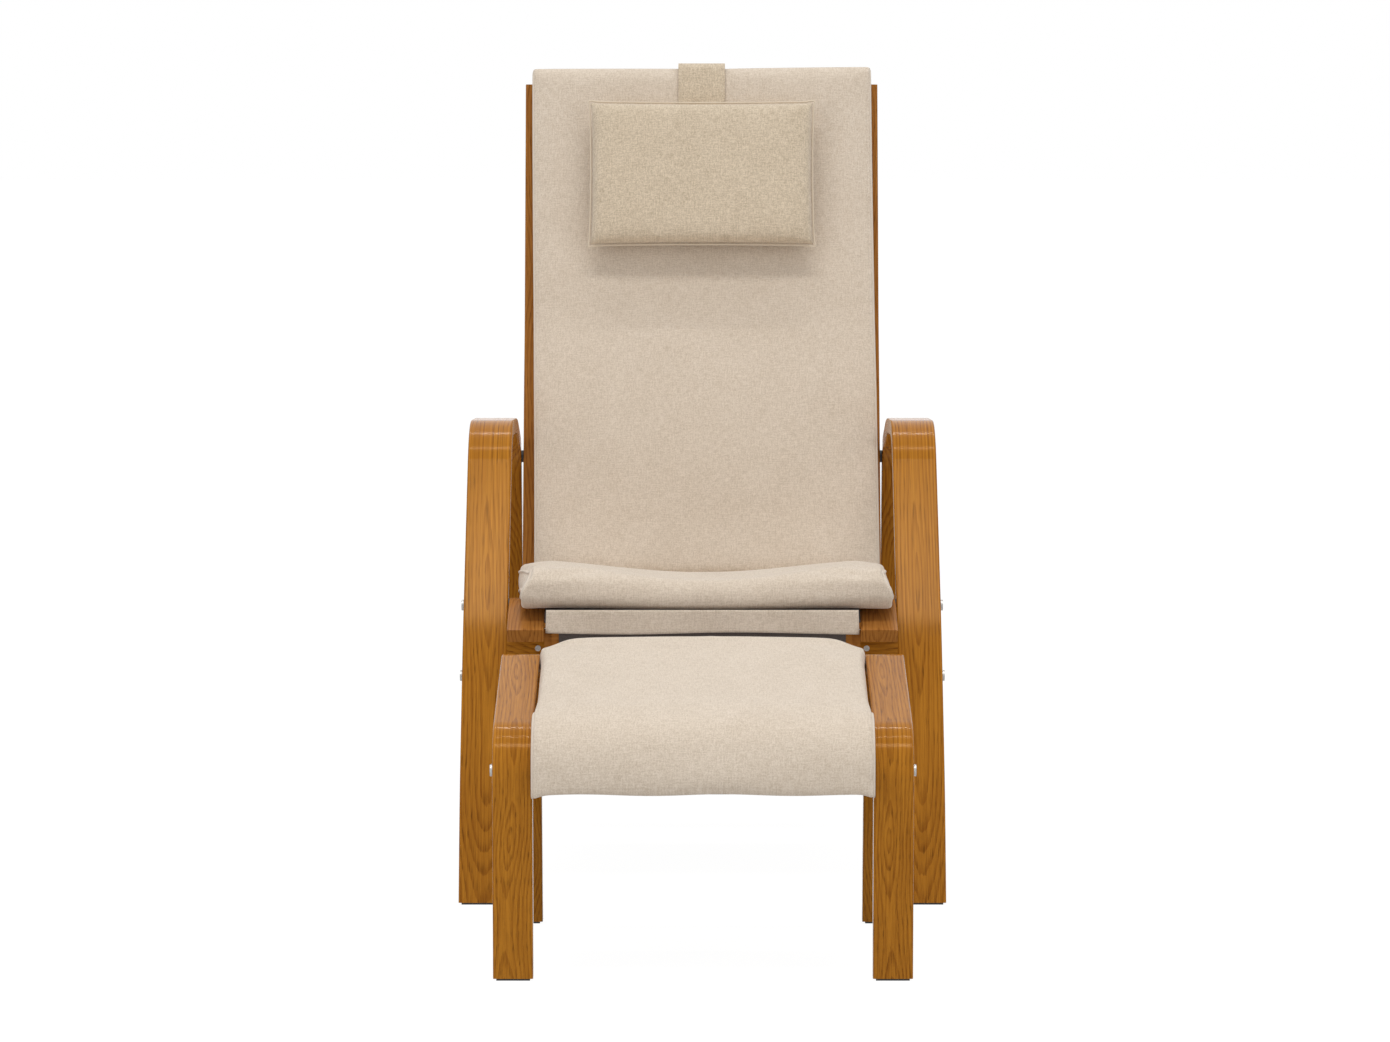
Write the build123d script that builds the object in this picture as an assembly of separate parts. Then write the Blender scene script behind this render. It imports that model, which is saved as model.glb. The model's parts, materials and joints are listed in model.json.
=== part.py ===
from build123d import *
import os
from math import acos, atan2, cos, degrees, hypot, radians, sin, tan

# Bentwood lounge recliner with a head pillow and a matching footstool.
# X runs across, Y from the sitter's feet towards the back, Z up. Millimetres.
# Profiles are drawn in the YZ plane with Y = 0 at the front of the chair's front feet, and every
# finished piece is then moved so that the origin lies on the floor under the middle of the set.

# Bent boards
overall_width = 660.0
loop_depth = 790.0
arm_height = 623.0
loop_board_width = 61.5
loop_board_thickness = 22.0
board_edge_radius = 2.5
loop_shares = (
    (0.0073, -0.030),
    (0.0700, 0.234),
    (0.2016, 0.5443),
    (0.4586, 0.9883),
    (0.7089, 0.9703),
    (0.8884, 0.8981),
    (0.9270, 0.6742),
    (0.9855, -0.030),
)
loop_foot_bend = 600.0
loop_leg_bend = 800.0
arm_front_bend = 104.0
arm_top_bend = 300.0
arm_rear_bend = 50.0
loop_rear_leg_bend = 500.0
pivot_share = 0.166
stretcher_bolt_share = 0.77
recline_stud_share = 0.1036

# Shell rails
rail_board_width = 50.5
rail_board_thickness = 18.0
rail_gap = 3.0
seat_slope = 11.5
lower_back_lean = 18.0
lumbar_lean = 22.0
upper_back_lean = 13.5
rail_nose_length = 100.0
rail_nose_slope = 20.0
rail_crest_distance = 45.0
lumbar_rise = 85.0
shoulder_rise = 110.0
upper_back_rise = 353.0
rail_crest_bend = 120.0
rail_seat_bend = 95.0
rail_lumbar_bend = 450.0

# Recline travel
recline_angle = 10.0
slot_clearance = 0.2

# Cross rails of the shell
front_cross_rail_depth = 22.0
front_cross_rail_height = 30.0
front_cross_rail_setback = 22.0
slat_width = 60.0
slat_thickness = 15.0
slat_overlap = 38.0
seat_slat_distance = 210.0
lumbar_slat_rise = 40.0
top_slat_drop = 45.0

# Stretchers of the arm frames
front_stretcher_height = 98.0
rear_stretcher_height = 45.0
stretcher_thickness = 20.0
stretcher_screw_inset = 43.0
stretcher_screw_drop = 10.0
stretcher_screw_length = 16.0
rear_stretcher_share = 0.62

# Bolts, screws and nuts
bolt_diameter = 8.0
bolt_head_diameter = 15.0
bolt_head_height = 3.0
bolt_socket_size = 5.0
bolt_socket_depth = 2.0
pivot_clearance = 0.05
insert_diameter = 11.0
insert_length = 20.0
stretcher_bolt_length = 95.0
barrel_nut_diameter = 12.0
barrel_nut_length = 18.0
spacer_diameter = 18.0
spacer_running_gap = 0.2
knob_diameter = 34.0
knob_height = 13.0
knob_lobes = 6
knob_lobe_diameter = 9.0
screw_head_diameter = 8.0
screw_head_height = 2.4
screw_shank_diameter = 4.0
screw_length = 28.0
screw_recess_depth = 1.2
screw_recess_width = 1.2
screw_recess_span = 4.4
cross_bolt_length = 60.0

# Floor glides
glide_height = 3.0
glide_inset = 4.0

# Canvas and upholstery
canvas_thickness = 2.0
canvas_rail_overlap = 22.0
soft_clearance = 0.3
cushion_side_inset = 12.5
seat_cushion_thickness = 50.0
seat_roll_extra = 17.0
seat_roll_droop = 10.0
seat_roll_reach = 92.0
seat_roll_share = 0.42
seat_sag = 24.0
cushion_bend_gap = 1.0
back_cushion_thickness = 32.0
back_cushion_overhang = 20.0
cushion_station_shares = (-1.0, -0.955, -0.84, -0.45, 0.0, 0.45, 0.84, 0.955, 1.0)
cushion_loft_shares = (0.74, 0.90, 0.98, 1.00, 1.02, 1.00, 0.98, 0.90, 0.74)
cushion_sag_shares = (0.0, 0.02, 0.15, 0.75, 1.0, 0.75, 0.15, 0.02, 0.0)
pad_end_bulge_share = 0.25
back_foot_rise_share = 0.33
flap_thickness = 3.0
flap_drop = 32.0
flap_side_gap = 2.0
flap_gap = 0.3

# Head pillow, strap and counterweight
pillow_width = 335.0
pillow_height = 215.0
pillow_thickness = 58.0
pillow_edge_thickness = 16.0
pillow_drop = 52.0
pillow_gap = 3.6
pillow_station_shares = (-1.0, -0.94, -0.72, 0.0, 0.72, 0.94, 1.0)
pillow_loft_shares = (0.10, 0.45, 0.82, 1.00, 0.82, 0.45, 0.10)
pillow_height_shares = (0.985, 1.0, 0.985, 0.97, 0.985, 1.0, 0.985)
strap_width = 70.0
strap_thickness = 3.0
strap_top_bend = 12.0
strap_bend_share = 0.999
strap_tuck = 40.0
strap_back_length = 190.0
weight_width = 150.0
weight_height = 90.0
weight_thickness = 24.0
weight_edge_share = 0.4
weight_seam_share = 0.33

# Footstool
stool_gap = 506.0
stool_width = 523.0
stool_depth = 396.0
stool_height = 378.0
stool_board_width = 50.0
stool_board_thickness = 22.0
stool_shares = (
    (0.0278, -0.050),
    (0.0278, 0.7890),
    (0.8470, 0.9660),
    (0.9770, -0.050),
)
stool_front_bend = 55.0
stool_rear_bend = 36.0
stool_front_bolt_share = 0.892
stool_front_rail_rise = 6.0
stool_front_rail_setback = 4.2
stool_rail_height = 30.0
stool_rear_rail_height = 64.0
stool_rail_thickness = 22.0
stool_cushion_thickness = 20.0
stool_seat_rise = 4.0
stool_cushion_rise = 17.0
stool_cushion_front = 18.0
stool_seat_front = 23.0
stool_hem_height = 236.0
stool_cushion_rear_inset = 22.0
stool_bolt_length = 80.0
stool_nut_length = 14.0
stool_nut_drop = 2.0
stool_canvas_side_gap = 6.0

# Shared overrun for cuts that run out of a piece
cut_overrun = 5.0

PROFILE = Plane.YZ


# Plane geometry

def shift(point, direction, distance):
    return (point[0] + direction[0] * distance, point[1] + direction[1] * distance)


def between(start, end, share):
    return (start[0] + (end[0] - start[0]) * share, start[1] + (end[1] - start[1]) * share)


def heading(angle):
    """Unit direction at an angle above +Y, in degrees."""
    return (cos(radians(angle)), sin(radians(angle)))


def left_normals(points):
    normals = []
    for start, end in zip(points, points[1:]):
        length = hypot(end[0] - start[0], end[1] - start[1])
        normals.append(((start[1] - end[1]) / length, (end[0] - start[0]) / length))
    return normals


def offset_route(points, radii, distance):
    """A route moved to its left by a distance, with its bends kept concentric."""
    normals = left_normals(points)
    moved = [shift(points[0], normals[0], distance)]
    bends = []
    for corner, before, after, radius in zip(points[1:-1], normals, normals[1:], radii):
        meet = 1 + before[0] * after[0] + before[1] * after[1]
        mitre = ((before[0] + after[0]) / meet, (before[1] + after[1]) / meet)
        moved.append(shift(corner, mitre, distance))
        turns_left = before[0] * after[1] - before[1] * after[0] > 0
        bends.append(radius - distance if turns_left else radius + distance)
    moved.append(shift(points[-1], normals[-1], distance))
    return moved, bends


def route_edges(points, radii):
    if len(points) == 2:
        return Line(points[0], points[1])
    return FilletPolyline(*points, radius=list(radii))


# Solids from profiles

def bent_board(points, radii, centre_x, width, thickness):
    """A laminated board of rounded section bent along a route."""
    with BuildPart() as board:
        with BuildLine(PROFILE.offset(centre_x)) as route:
            FilletPolyline(*points, radius=list(radii))
        start = Plane(origin=route.line @ 0, x_dir=(1, 0, 0), z_dir=route.line % 0)
        with BuildSketch(start):
            RectangleRounded(width, thickness, board_edge_radius)
        sweep(path=route.line)
    return board.part


def profile_bar(corners, x_from, x_to):
    """A straight bar along X with a polygon profile."""
    with BuildPart() as bar:
        with BuildSketch(PROFILE.offset(x_from)):
            with BuildLine():
                Polyline(*corners, close=True)
            make_face()
        extrude(amount=x_to - x_from)
    return bar.part


def cross_rod(point, diameter, x_from, x_to):
    """A round rod along X through a profile point."""
    low = min(x_from, x_to)
    with BuildPart() as rod:
        with BuildSketch(PROFILE.offset(low)):
            with Locations(point):
                Circle(diameter / 2)
        extrude(amount=abs(x_to - x_from))
    return rod.part


def block(x_from, x_to, y_from, y_to, z_from, z_to):
    middle = ((x_from + x_to) / 2, (y_from + y_to) / 2, (z_from + z_to) / 2)
    return Pos(*middle) * Box(abs(x_to - x_from), abs(y_to - y_from), abs(z_to - z_from))


def route_slab(points, radii, inner, outer, x_from, x_to):
    """A sheet along X that fills a route from one left offset to another."""
    inner_points, inner_bends = offset_route(points, radii, inner)
    outer_points, outer_bends = offset_route(points, radii, outer)
    with BuildPart() as slab:
        with BuildSketch(PROFILE.offset(x_from)):
            with BuildLine():
                route_edges(inner_points, inner_bends)
                route_edges(outer_points, outer_bends)
                Line(inner_points[0], outer_points[0])
                Line(inner_points[-1], outer_points[-1])
            make_face()
        extrude(amount=x_to - x_from)
    return slab.part


def mirrored(piece):
    return mirror(piece, about=Plane.YZ)


def loft_across(sections):
    """One soft solid through profile faces that stand at rising X."""
    with BuildPart() as soft:
        loft(sections=sections)
    return soft.part


def below(level, points):
    """A block under a height, large enough to cut a piece off there."""
    ys = [point[0] for point in points]
    reach = overall_width
    return block(-reach, reach, min(ys) - reach, max(ys) + reach, level - reach, level)


# Routes and places worked out from the driving dimensions

def scaled(shares, depth, height, origin):
    return [(origin + y * depth, z * height) for y, z in shares]


loop_points = scaled(loop_shares, loop_depth, arm_height, 0)
loop_bends = (
    loop_foot_bend,
    loop_leg_bend,
    arm_front_bend,
    arm_top_bend,
    arm_rear_bend,
    loop_rear_leg_bend,
)
loop_outer_x = overall_width / 2
loop_inner_x = loop_outer_x - loop_board_width
loop_middle_x = (loop_outer_x + loop_inner_x) / 2
rail_outer_x = loop_inner_x - rail_gap
rail_inner_x = rail_outer_x - rail_board_width
rail_middle_x = (rail_outer_x + rail_inner_x) / 2
canvas_half_width = rail_inner_x + canvas_rail_overlap
cushion_half_width = rail_outer_x - cushion_side_inset

pivot_point = between(loop_points[2], loop_points[3], pivot_share)
stud_point = between(loop_points[5], loop_points[6], recline_stud_share)
front_stretcher_point = between(loop_points[1], loop_points[2], stretcher_bolt_share)
rear_stretcher_point = between(loop_points[6], loop_points[7], 1 - rear_stretcher_share)


def seat_corner():
    """Where the seat line through the pivot meets the back line through the stud."""
    fall = tan(radians(seat_slope))
    lean = tan(radians(lower_back_lean))
    reach = stud_point[0] - pivot_point[0] - stud_point[1] * lean
    z = (pivot_point[1] - reach * fall) / (1 + lean * fall)
    return (stud_point[0] - (stud_point[1] - z) * lean, z)


def rail_route():
    crest = shift(pivot_point, heading(180 - seat_slope), rail_crest_distance)
    nose = shift(crest, heading(180 + rail_nose_slope), rail_nose_length)
    lumbar = shift(stud_point, heading(90 - lower_back_lean), lumbar_rise / cos(radians(lower_back_lean)))
    shoulder = shift(lumbar, heading(90 - lumbar_lean), shoulder_rise / cos(radians(lumbar_lean)))
    top = shift(shoulder, heading(90 - upper_back_lean), upper_back_rise / cos(radians(upper_back_lean)))
    return [nose, crest, seat_corner(), lumbar, shoulder, top]


rail_points = rail_route()
rail_bends = (rail_crest_bend, rail_seat_bend, rail_lumbar_bend, rail_lumbar_bend)
rail_face = rail_board_thickness / 2
canvas_face = rail_face + canvas_thickness
upper_back = heading(90 - upper_back_lean)
upper_back_normal = heading(180 - upper_back_lean)
seat_heading = heading(-seat_slope)
seat_normal = heading(90 - seat_slope)
stud_radius = hypot(stud_point[0] - pivot_point[0], stud_point[1] - pivot_point[1])
stud_elevation = degrees(atan2(stud_point[1] - pivot_point[1], stud_point[0] - pivot_point[0]))


# Arm frames

def arm_frame():
    """Right arm frame: front leg, arm and rear leg bent from one laminated board."""
    board = bent_board(loop_points, loop_bends, loop_middle_x, loop_board_width, loop_board_thickness)
    board -= below(glide_height, loop_points)
    far = loop_outer_x + cut_overrun
    near = loop_inner_x - cut_overrun
    board -= cross_rod(pivot_point, bolt_diameter + 2 * pivot_clearance, near, far)
    board -= stud_slot(near, far)
    for point in (front_stretcher_point, rear_stretcher_point):
        board -= cross_rod(point, bolt_diameter, near, far)
    return board


def stud_slot(x_from, x_to):
    """Curved slot in the rear leg, centred on the pivot, that the recline stud runs in."""
    with BuildPart() as slot:
        with BuildSketch(PROFILE.offset(x_from)):
            with BuildLine():
                travel = CenterArc(pivot_point, stud_radius, stud_elevation - recline_angle, recline_angle)
            SlotArc(travel, bolt_diameter + 2 * slot_clearance)
        extrude(amount=x_to - x_from)
    return slot.part


def foot_glide(points, leg_index, foot_index, board_width, board_thickness, middle_x):
    """Plastic glide under one leg, as large as the foot less an inset."""
    leg, foot = points[leg_index], points[foot_index]
    slant = (leg[0] - foot[0]) / (leg[1] - foot[1])
    foot_y = foot[0] - foot[1] * slant
    half_depth = board_thickness / 2 - glide_inset
    half_width = board_width / 2 - glide_inset
    x_from, x_to = middle_x - half_width, middle_x + half_width
    return block(x_from, x_to, foot_y - half_depth, foot_y + half_depth, 0, glide_height)


def stretcher(point, height):
    """Cross board between the arm frames, set flat against their inner faces."""
    half_depth = stretcher_thickness / 2
    y, z = point
    body = block(
        -loop_inner_x, loop_inner_x, y - half_depth, y + half_depth, z - height / 2, z + height / 2
    )
    tip = loop_outer_x - stretcher_bolt_length
    for side in (-1, 1):
        body -= cross_rod(point, bolt_diameter, side * tip, side * (loop_inner_x + cut_overrun))
        body -= barrel_nut_hole(point, side * nut_x(), height)
    return body


def front_stretcher():
    """Tall front board with a screw in its front face near each end."""
    body = stretcher(front_stretcher_point, front_stretcher_height)
    for side in (-1, 1):
        body -= stretcher_screw(side, 0)
    return body


def stretcher_screw(side, recess):
    """Cross-recess screw in the front face of the front stretcher."""
    y, z = front_stretcher_point
    origin = (
        side * (loop_inner_x - stretcher_screw_inset),
        y - stretcher_thickness / 2,
        z + front_stretcher_height / 2 - stretcher_screw_drop,
    )
    place = Plane(origin=origin, x_dir=(1, 0, 0), z_dir=(0, -1, 0))
    return place * screw_body(stretcher_screw_length, recess)


def nut_x():
    return loop_outer_x - stretcher_bolt_length + barrel_nut_diameter / 2 + bolt_head_height


def barrel_nut_hole(point, x, height):
    """Blind hole from a stretcher's underside up to the top of its barrel nut."""
    y, z = point
    depth = (height + barrel_nut_length) / 2
    return Pos(x, y, z - height / 2 + depth / 2) * Cylinder(barrel_nut_diameter / 2, depth)


def barrel_nut(point, x):
    """Cross dowel that a frame bolt screws into, centred on the bolt."""
    y, z = point
    body = Pos(x, y, z) * Cylinder(barrel_nut_diameter / 2, barrel_nut_length)
    return body - cross_rod(point, bolt_diameter, -loop_outer_x, loop_outer_x)


def frame_bolt(point, outer_x, length, side):
    """Low-head hexagon-socket bolt driven in from the outer edge of a frame."""
    head = cross_rod(point, bolt_head_diameter, side * outer_x, side * (outer_x + bolt_head_height))
    shank = cross_rod(point, bolt_diameter, side * (outer_x - length), side * outer_x)
    far_x = side * (outer_x + bolt_head_height)
    socket_plane = PROFILE.offset(min(far_x, far_x - side * bolt_socket_depth))
    with BuildPart() as socket:
        with BuildSketch(socket_plane):
            with Locations(point):
                RegularPolygon(bolt_socket_size / 2, 6, major_radius=False)
        extrude(amount=bolt_socket_depth)
    return head + shank - socket.part


# Shell

def shell_rail():
    """Right shell rail: seat and back bent from one laminated board."""
    board = bent_board(rail_points, rail_bends, rail_middle_x, rail_board_width, rail_board_thickness)
    board -= cross_rod(pivot_point, insert_diameter, rail_outer_x - insert_length, rail_outer_x + cut_overrun)
    board -= cross_rod(stud_point, insert_diameter, rail_outer_x - insert_length, rail_outer_x + cut_overrun)
    screw_point = front_cross_rail_point()
    far = rail_outer_x + cut_overrun
    board -= cross_rod(screw_point, screw_shank_diameter, rail_inner_x - cut_overrun, far)
    board -= cross_rod(screw_point, screw_head_diameter, rail_outer_x - screw_head_height, far)
    for point, out in slat_places():
        board -= placed_screw(point, out, slat_screw_x(), 0)
    return board


def insert(point, side):
    """Threaded sleeve sunk in the outer edge of a rail."""
    outer = cross_rod(point, insert_diameter, side * (rail_outer_x - insert_length), side * rail_outer_x)
    bore = cross_rod(
        point, bolt_diameter, side * (rail_outer_x - insert_length), side * (rail_outer_x + cut_overrun)
    )
    return outer - bore


def spacer(point, side):
    """Plastic washer in the gap between rail and arm frame."""
    outer_x = loop_inner_x - spacer_running_gap
    ring = cross_rod(point, spacer_diameter, side * rail_outer_x, side * outer_x)
    near, far = side * (rail_outer_x - cut_overrun), side * (outer_x + cut_overrun)
    return ring - cross_rod(point, bolt_diameter, near, far)


def pivot_bolt(side):
    """Shouldered bolt that turns in the front leg and is screwed into the rail."""
    point = pivot_point
    outer_x = loop_outer_x + spacer_running_gap
    length = outer_x - rail_outer_x + insert_length
    return frame_bolt(point, outer_x, length, side)


def recline_stud(side):
    """Stud fixed in the rail, running through the slot of the rear leg into the knob."""
    start = side * (rail_outer_x - insert_length)
    end = side * (loop_outer_x + spacer_running_gap + knob_height / 2)
    return cross_rod(stud_point, bolt_diameter, start, end)


def recline_knob(side):
    """Lobed hand knob that clamps the shell to the arm frame."""
    inner_x = loop_outer_x + spacer_running_gap
    outer_x = inner_x + knob_height
    body = cross_rod(stud_point, knob_diameter, side * inner_x, side * outer_x)
    far = side * (outer_x + cut_overrun)
    for lobe in range(knob_lobes):
        place = shift(stud_point, heading(lobe * 360 / knob_lobes), knob_diameter / 2)
        body -= cross_rod(place, knob_lobe_diameter, side * (inner_x - cut_overrun), far)
    body -= cross_rod(
        stud_point, bolt_diameter, side * (inner_x - cut_overrun), side * (inner_x + knob_height / 2)
    )
    return body


def front_cross_rail_point():
    """Middle of the front cross rail, on the rail's middle line behind its nose."""
    nose, crest = rail_points[0], rail_points[1]
    return between(nose, crest, front_cross_rail_setback / rail_nose_length)


def front_cross_rail():
    """Bar between the rails near their front ends, its top flush with theirs."""
    along = heading(rail_nose_slope)
    up = heading(90 + rail_nose_slope)
    half_depth = front_cross_rail_depth / 2
    middle = front_cross_rail_point()
    top = shift(middle, up, rail_face)
    bottom = shift(top, up, -front_cross_rail_height)
    corners = [
        shift(bottom, along, -half_depth),
        shift(bottom, along, half_depth),
        shift(top, along, half_depth),
        shift(top, along, -half_depth),
    ]
    bar = profile_bar(corners, -rail_inner_x, rail_inner_x)
    for side in (-1, 1):
        end = side * (rail_outer_x - cross_bolt_length - screw_head_height)
        bar -= cross_rod(middle, screw_shank_diameter, end, side * (rail_inner_x + cut_overrun))
    return bar


def cross_rail_screw(side):
    """Long wood screw through a rail into the end of the front cross rail."""
    point = front_cross_rail_point()
    outer_x = rail_outer_x - screw_head_height
    shank = cross_rod(point, screw_shank_diameter, side * (outer_x - cross_bolt_length), side * outer_x)
    head = cross_rod(point, screw_head_diameter, side * outer_x, side * rail_outer_x)
    return shank + head


def slat_places():
    """Middle of each slat's seat on the rails' rear faces, with the direction out of the rail."""
    seat_down = (-seat_normal[0], -seat_normal[1])
    seat = shift(shift(pivot_point, seat_heading, seat_slat_distance), seat_down, rail_face)
    back_out = heading(-lower_back_lean)
    lumbar_middle = shift(stud_point, heading(90 - lower_back_lean), lumbar_slat_rise)
    lumbar = shift(lumbar_middle, back_out, rail_face)
    top_out = heading(-upper_back_lean)
    top_middle = shift(rail_points[-1], upper_back, -top_slat_drop)
    top = shift(top_middle, top_out, rail_face)
    return [(seat, seat_down), (lumbar, back_out), (top, top_out)]


def slat(place):
    """Flat cross slat screwed to the rear faces of both rails."""
    point, out = place
    along = (-out[1], out[0])
    half = slat_width / 2
    near = [shift(point, along, -half), shift(point, along, half)]
    far = [shift(near[1], out, slat_thickness), shift(near[0], out, slat_thickness)]
    reach = rail_inner_x + slat_overlap
    bar = profile_bar(near + far, -reach, reach)
    for side in (-1, 1):
        bar -= placed_screw(point, out, side * slat_screw_x(), 0)
    return bar


def slat_screw_x():
    return rail_inner_x + slat_overlap / 2


def screw_body(length, recess):
    """Cross-recess screw along +Z with its head's top at the origin."""
    head = Pos(0, 0, -screw_head_height / 2) * Cylinder(screw_head_diameter / 2, screw_head_height)
    shank = Pos(0, 0, -length / 2) * Cylinder(screw_shank_diameter / 2, length)
    body = head + shank
    if recess:
        arm = Box(screw_recess_span, screw_recess_width, 2 * screw_recess_depth)
        body -= arm
        body -= Rot(0, 0, 90) * arm
    return body


def placed_screw(point, out, x, recess):
    """Screw driven in from a slat's outer face at one X."""
    top = shift(point, out, slat_thickness)
    place = Plane(origin=(x, top[0], top[1]), x_dir=(1, 0, 0), z_dir=(0, out[0], out[1]))
    return place * screw_body(screw_length, recess)


# Canvas and cushions

def support_canvas():
    """Canvas over the rails up to the top, and only between them in front of their crest."""
    points = [front_cross_rail_point()] + rail_points[1:]
    sheet = route_slab(points, rail_bends, rail_face, canvas_face, -canvas_half_width, canvas_half_width)
    front, crest, top = points[0][0] - canvas_rail_overlap, points[1][0], points[-1][1]
    inner, outer = rail_inner_x - soft_clearance, canvas_half_width + cut_overrun
    for x_from, x_to in ((-outer, -inner), (inner, outer)):
        sheet -= block(x_from, x_to, front, crest, 0, top)
    return sheet


def seat_face_point(distance, rise):
    """A point over the seat line: distance back from the pivot, rise above the canvas."""
    on_line = shift(pivot_point, seat_heading, distance)
    return shift(on_line, seat_normal, canvas_face + soft_clearance + rise)


def back_face_route():
    """The canvas's front face from the seat corner to the top, as a route going up."""
    points, bends = offset_route(rail_points[2:], rail_bends[2:], canvas_face + soft_clearance)
    return points, bends


def seat_bend_face(rise):
    """Points on the canvas's bend: its start, the middle and the end of the stretch up to a rise."""
    centres, _ = offset_route(rail_points[1:4], rail_bends[1:2], rail_seat_bend)
    radius = rail_seat_bend - canvas_face - cushion_bend_gap
    turn = degrees(acos(1 - rise / radius))
    start_angle = -90 - seat_slope
    angles = (start_angle, start_angle + turn / 2, start_angle + turn)
    return [shift(centres[1], heading(angle), radius) for angle in angles]


def seat_cushion():
    """Seat cushion with a crowned top, a sagging middle and a rounded front roll."""
    half = cushion_half_width
    sections = []
    rows = zip(cushion_station_shares, cushion_loft_shares, cushion_sag_shares)
    for station, fullness, sag in rows:
        thickness = seat_cushion_thickness * fullness
        rise = thickness - seat_sag * sag
        roll = rise + seat_roll_extra
        crest = seat_face_point(-rail_crest_distance, 0)
        front_low = (crest[0] - seat_roll_reach, crest[1] - seat_roll_droop)
        front_high = (front_low[0], front_low[1] + roll)
        over_crest = (crest[0], crest[1] + rise)
        bend_start, bend_middle, bend_end = seat_bend_face(thickness)
        front_radius = roll * seat_roll_share
        corners = [bend_end, over_crest, front_high, front_low, crest, bend_start]
        radii = [rail_crest_bend, front_radius, front_radius, rail_crest_bend]
        with BuildSketch(PROFILE.offset(station * half)) as outline:
            with BuildLine():
                FilletPolyline(*corners, radius=radii)
                ThreePointArc(bend_start, bend_middle, bend_end)
            make_face()
        sections.append(outline.sketch.faces()[0])
    return loft_across(sections)


def back_cushion():
    """Back cushion that stands on the seat cushion and runs over the rails' tops."""
    half = cushion_half_width
    points, bends = back_face_route()
    bend_run = (rail_seat_bend - canvas_face) * tan(radians((90 - lower_back_lean + seat_slope) / 2))
    rise = bend_run + back_cushion_thickness * back_foot_rise_share
    foot = shift(points[0], heading(90 - lower_back_lean), rise)
    top = shift(points[-1], upper_back, back_cushion_overhang)
    route = [foot, points[1], points[2], top]
    sections = []
    for station, fullness in zip(cushion_station_shares, cushion_loft_shares):
        upper, upper_bends = offset_route(route, bends, back_cushion_thickness * fullness)
        sections.append(pad_outline(station * half, route, bends, upper, upper_bends))
    return loft_across(sections)


def pad_outline(x, lower, lower_bends, upper, upper_bends):
    """Pad profile between two concentric routes, with rounded ends."""
    bulge = hypot(upper[0][0] - lower[0][0], upper[0][1] - lower[0][1]) * pad_end_bulge_share
    normals = left_normals(upper)
    start_mid = shift(between(lower[0], upper[0], 0.5), (normals[0][1], -normals[0][0]), -bulge)
    end_mid = shift(between(lower[-1], upper[-1], 0.5), (normals[-1][1], -normals[-1][0]), bulge)
    with BuildSketch(PROFILE.offset(x)) as outline:
        with BuildLine():
            route_edges(lower, lower_bends)
            ThreePointArc(lower[-1], end_mid, upper[-1])
            route_edges(upper, upper_bends)
            ThreePointArc(upper[0], start_mid, lower[0])
        make_face()
    return outline.sketch.faces()[0]


def front_flap():
    """Cloth tail of the seat cover, hanging from the roll in front of the cross rail."""
    nose = shift(front_cross_rail_point(), heading(rail_nose_slope), -front_cross_rail_depth / 2)
    crest = seat_face_point(-rail_crest_distance, 0)
    top_z = crest[1] - seat_roll_droop - soft_clearance
    high = shift(nose, heading(90 + rail_nose_slope), rail_face)
    front = high[0] - flap_gap - flap_thickness
    reach = rail_inner_x - flap_side_gap
    return block(-reach, reach, front, front + flap_thickness, top_z - flap_drop, top_z)


# Head pillow

def pillow_places():
    """Middle of the pillow's back face and of its top edge, on the back cushion's front face."""
    points, _ = back_face_route()
    face = shift(points[-1], upper_back_normal, back_cushion_thickness * max(cushion_loft_shares))
    level = shift(face, upper_back, back_cushion_overhang - pillow_drop)
    top_edge = shift(level, upper_back_normal, pillow_gap)
    middle = shift(top_edge, upper_back, -pillow_height / 2)
    return middle, top_edge


def head_pillow():
    """Head pillow with a crowned front, thin side edges and slightly drawn-in long edges."""
    middle, _ = pillow_places()
    half = pillow_width / 2
    sections = []
    rows = zip(pillow_station_shares, pillow_loft_shares, pillow_height_shares)
    for station, fullness, height_share in rows:
        reach = pillow_height / 2 * height_share
        thickness = pillow_edge_thickness + (pillow_thickness - pillow_edge_thickness) * fullness
        edge = pillow_edge_thickness
        low_back = shift(middle, upper_back, -reach)
        high_back = shift(middle, upper_back, reach)
        low_front = shift(low_back, upper_back_normal, edge)
        high_front = shift(high_back, upper_back_normal, edge)
        crown = shift(middle, upper_back_normal, thickness)
        with BuildSketch(PROFILE.offset(station * half)) as outline:
            with BuildLine():
                Line(low_back, high_back)
                Line(high_back, high_front)
                ThreePointArc(high_front, crown, low_front)
                Line(low_front, low_back)
            make_face()
        sections.append(outline.sketch.faces()[0])
    return loft_across(sections)


def strap_route():
    """Strap from behind the pillow, over the top of the back and down behind it."""
    points, _ = back_face_route()
    back_face = points[-1]
    front_face = shift(back_face, upper_back_normal, back_cushion_thickness * max(cushion_loft_shares))
    gap = soft_clearance + strap_thickness / 2
    bulge = back_cushion_thickness * pad_end_bulge_share
    top_rise = back_cushion_overhang + bulge + 2 * gap
    front_line = shift(front_face, upper_back_normal, gap)
    slat_reach = rail_board_thickness + canvas_thickness + soft_clearance + slat_thickness
    rear_line = shift(back_face, upper_back_normal, -(slat_reach + gap))
    start = shift(front_line, upper_back, back_cushion_overhang - pillow_drop - strap_tuck)
    front_top = shift(front_line, upper_back, top_rise)
    rear_top = shift(rear_line, upper_back, top_rise)
    end = shift(rear_top, upper_back, -strap_back_length)
    return start, front_top, rear_top, end


def strap_piece(points, bends):
    half = strap_thickness / 2
    return route_slab(points, bends, -half, half, -strap_width / 2, strap_width / 2)


def strap_front():
    start, front_top, _, _ = strap_route()
    return strap_piece([start, shift(front_top, upper_back, -strap_top_bend)], [])


def strap_over():
    _, front_top, rear_top, _ = strap_route()
    low_front = shift(front_top, upper_back, -strap_top_bend)
    low_rear = shift(rear_top, upper_back, -strap_top_bend)
    bend = strap_top_bend * strap_bend_share
    return strap_piece([low_front, front_top, rear_top, low_rear], [bend, bend])


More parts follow.
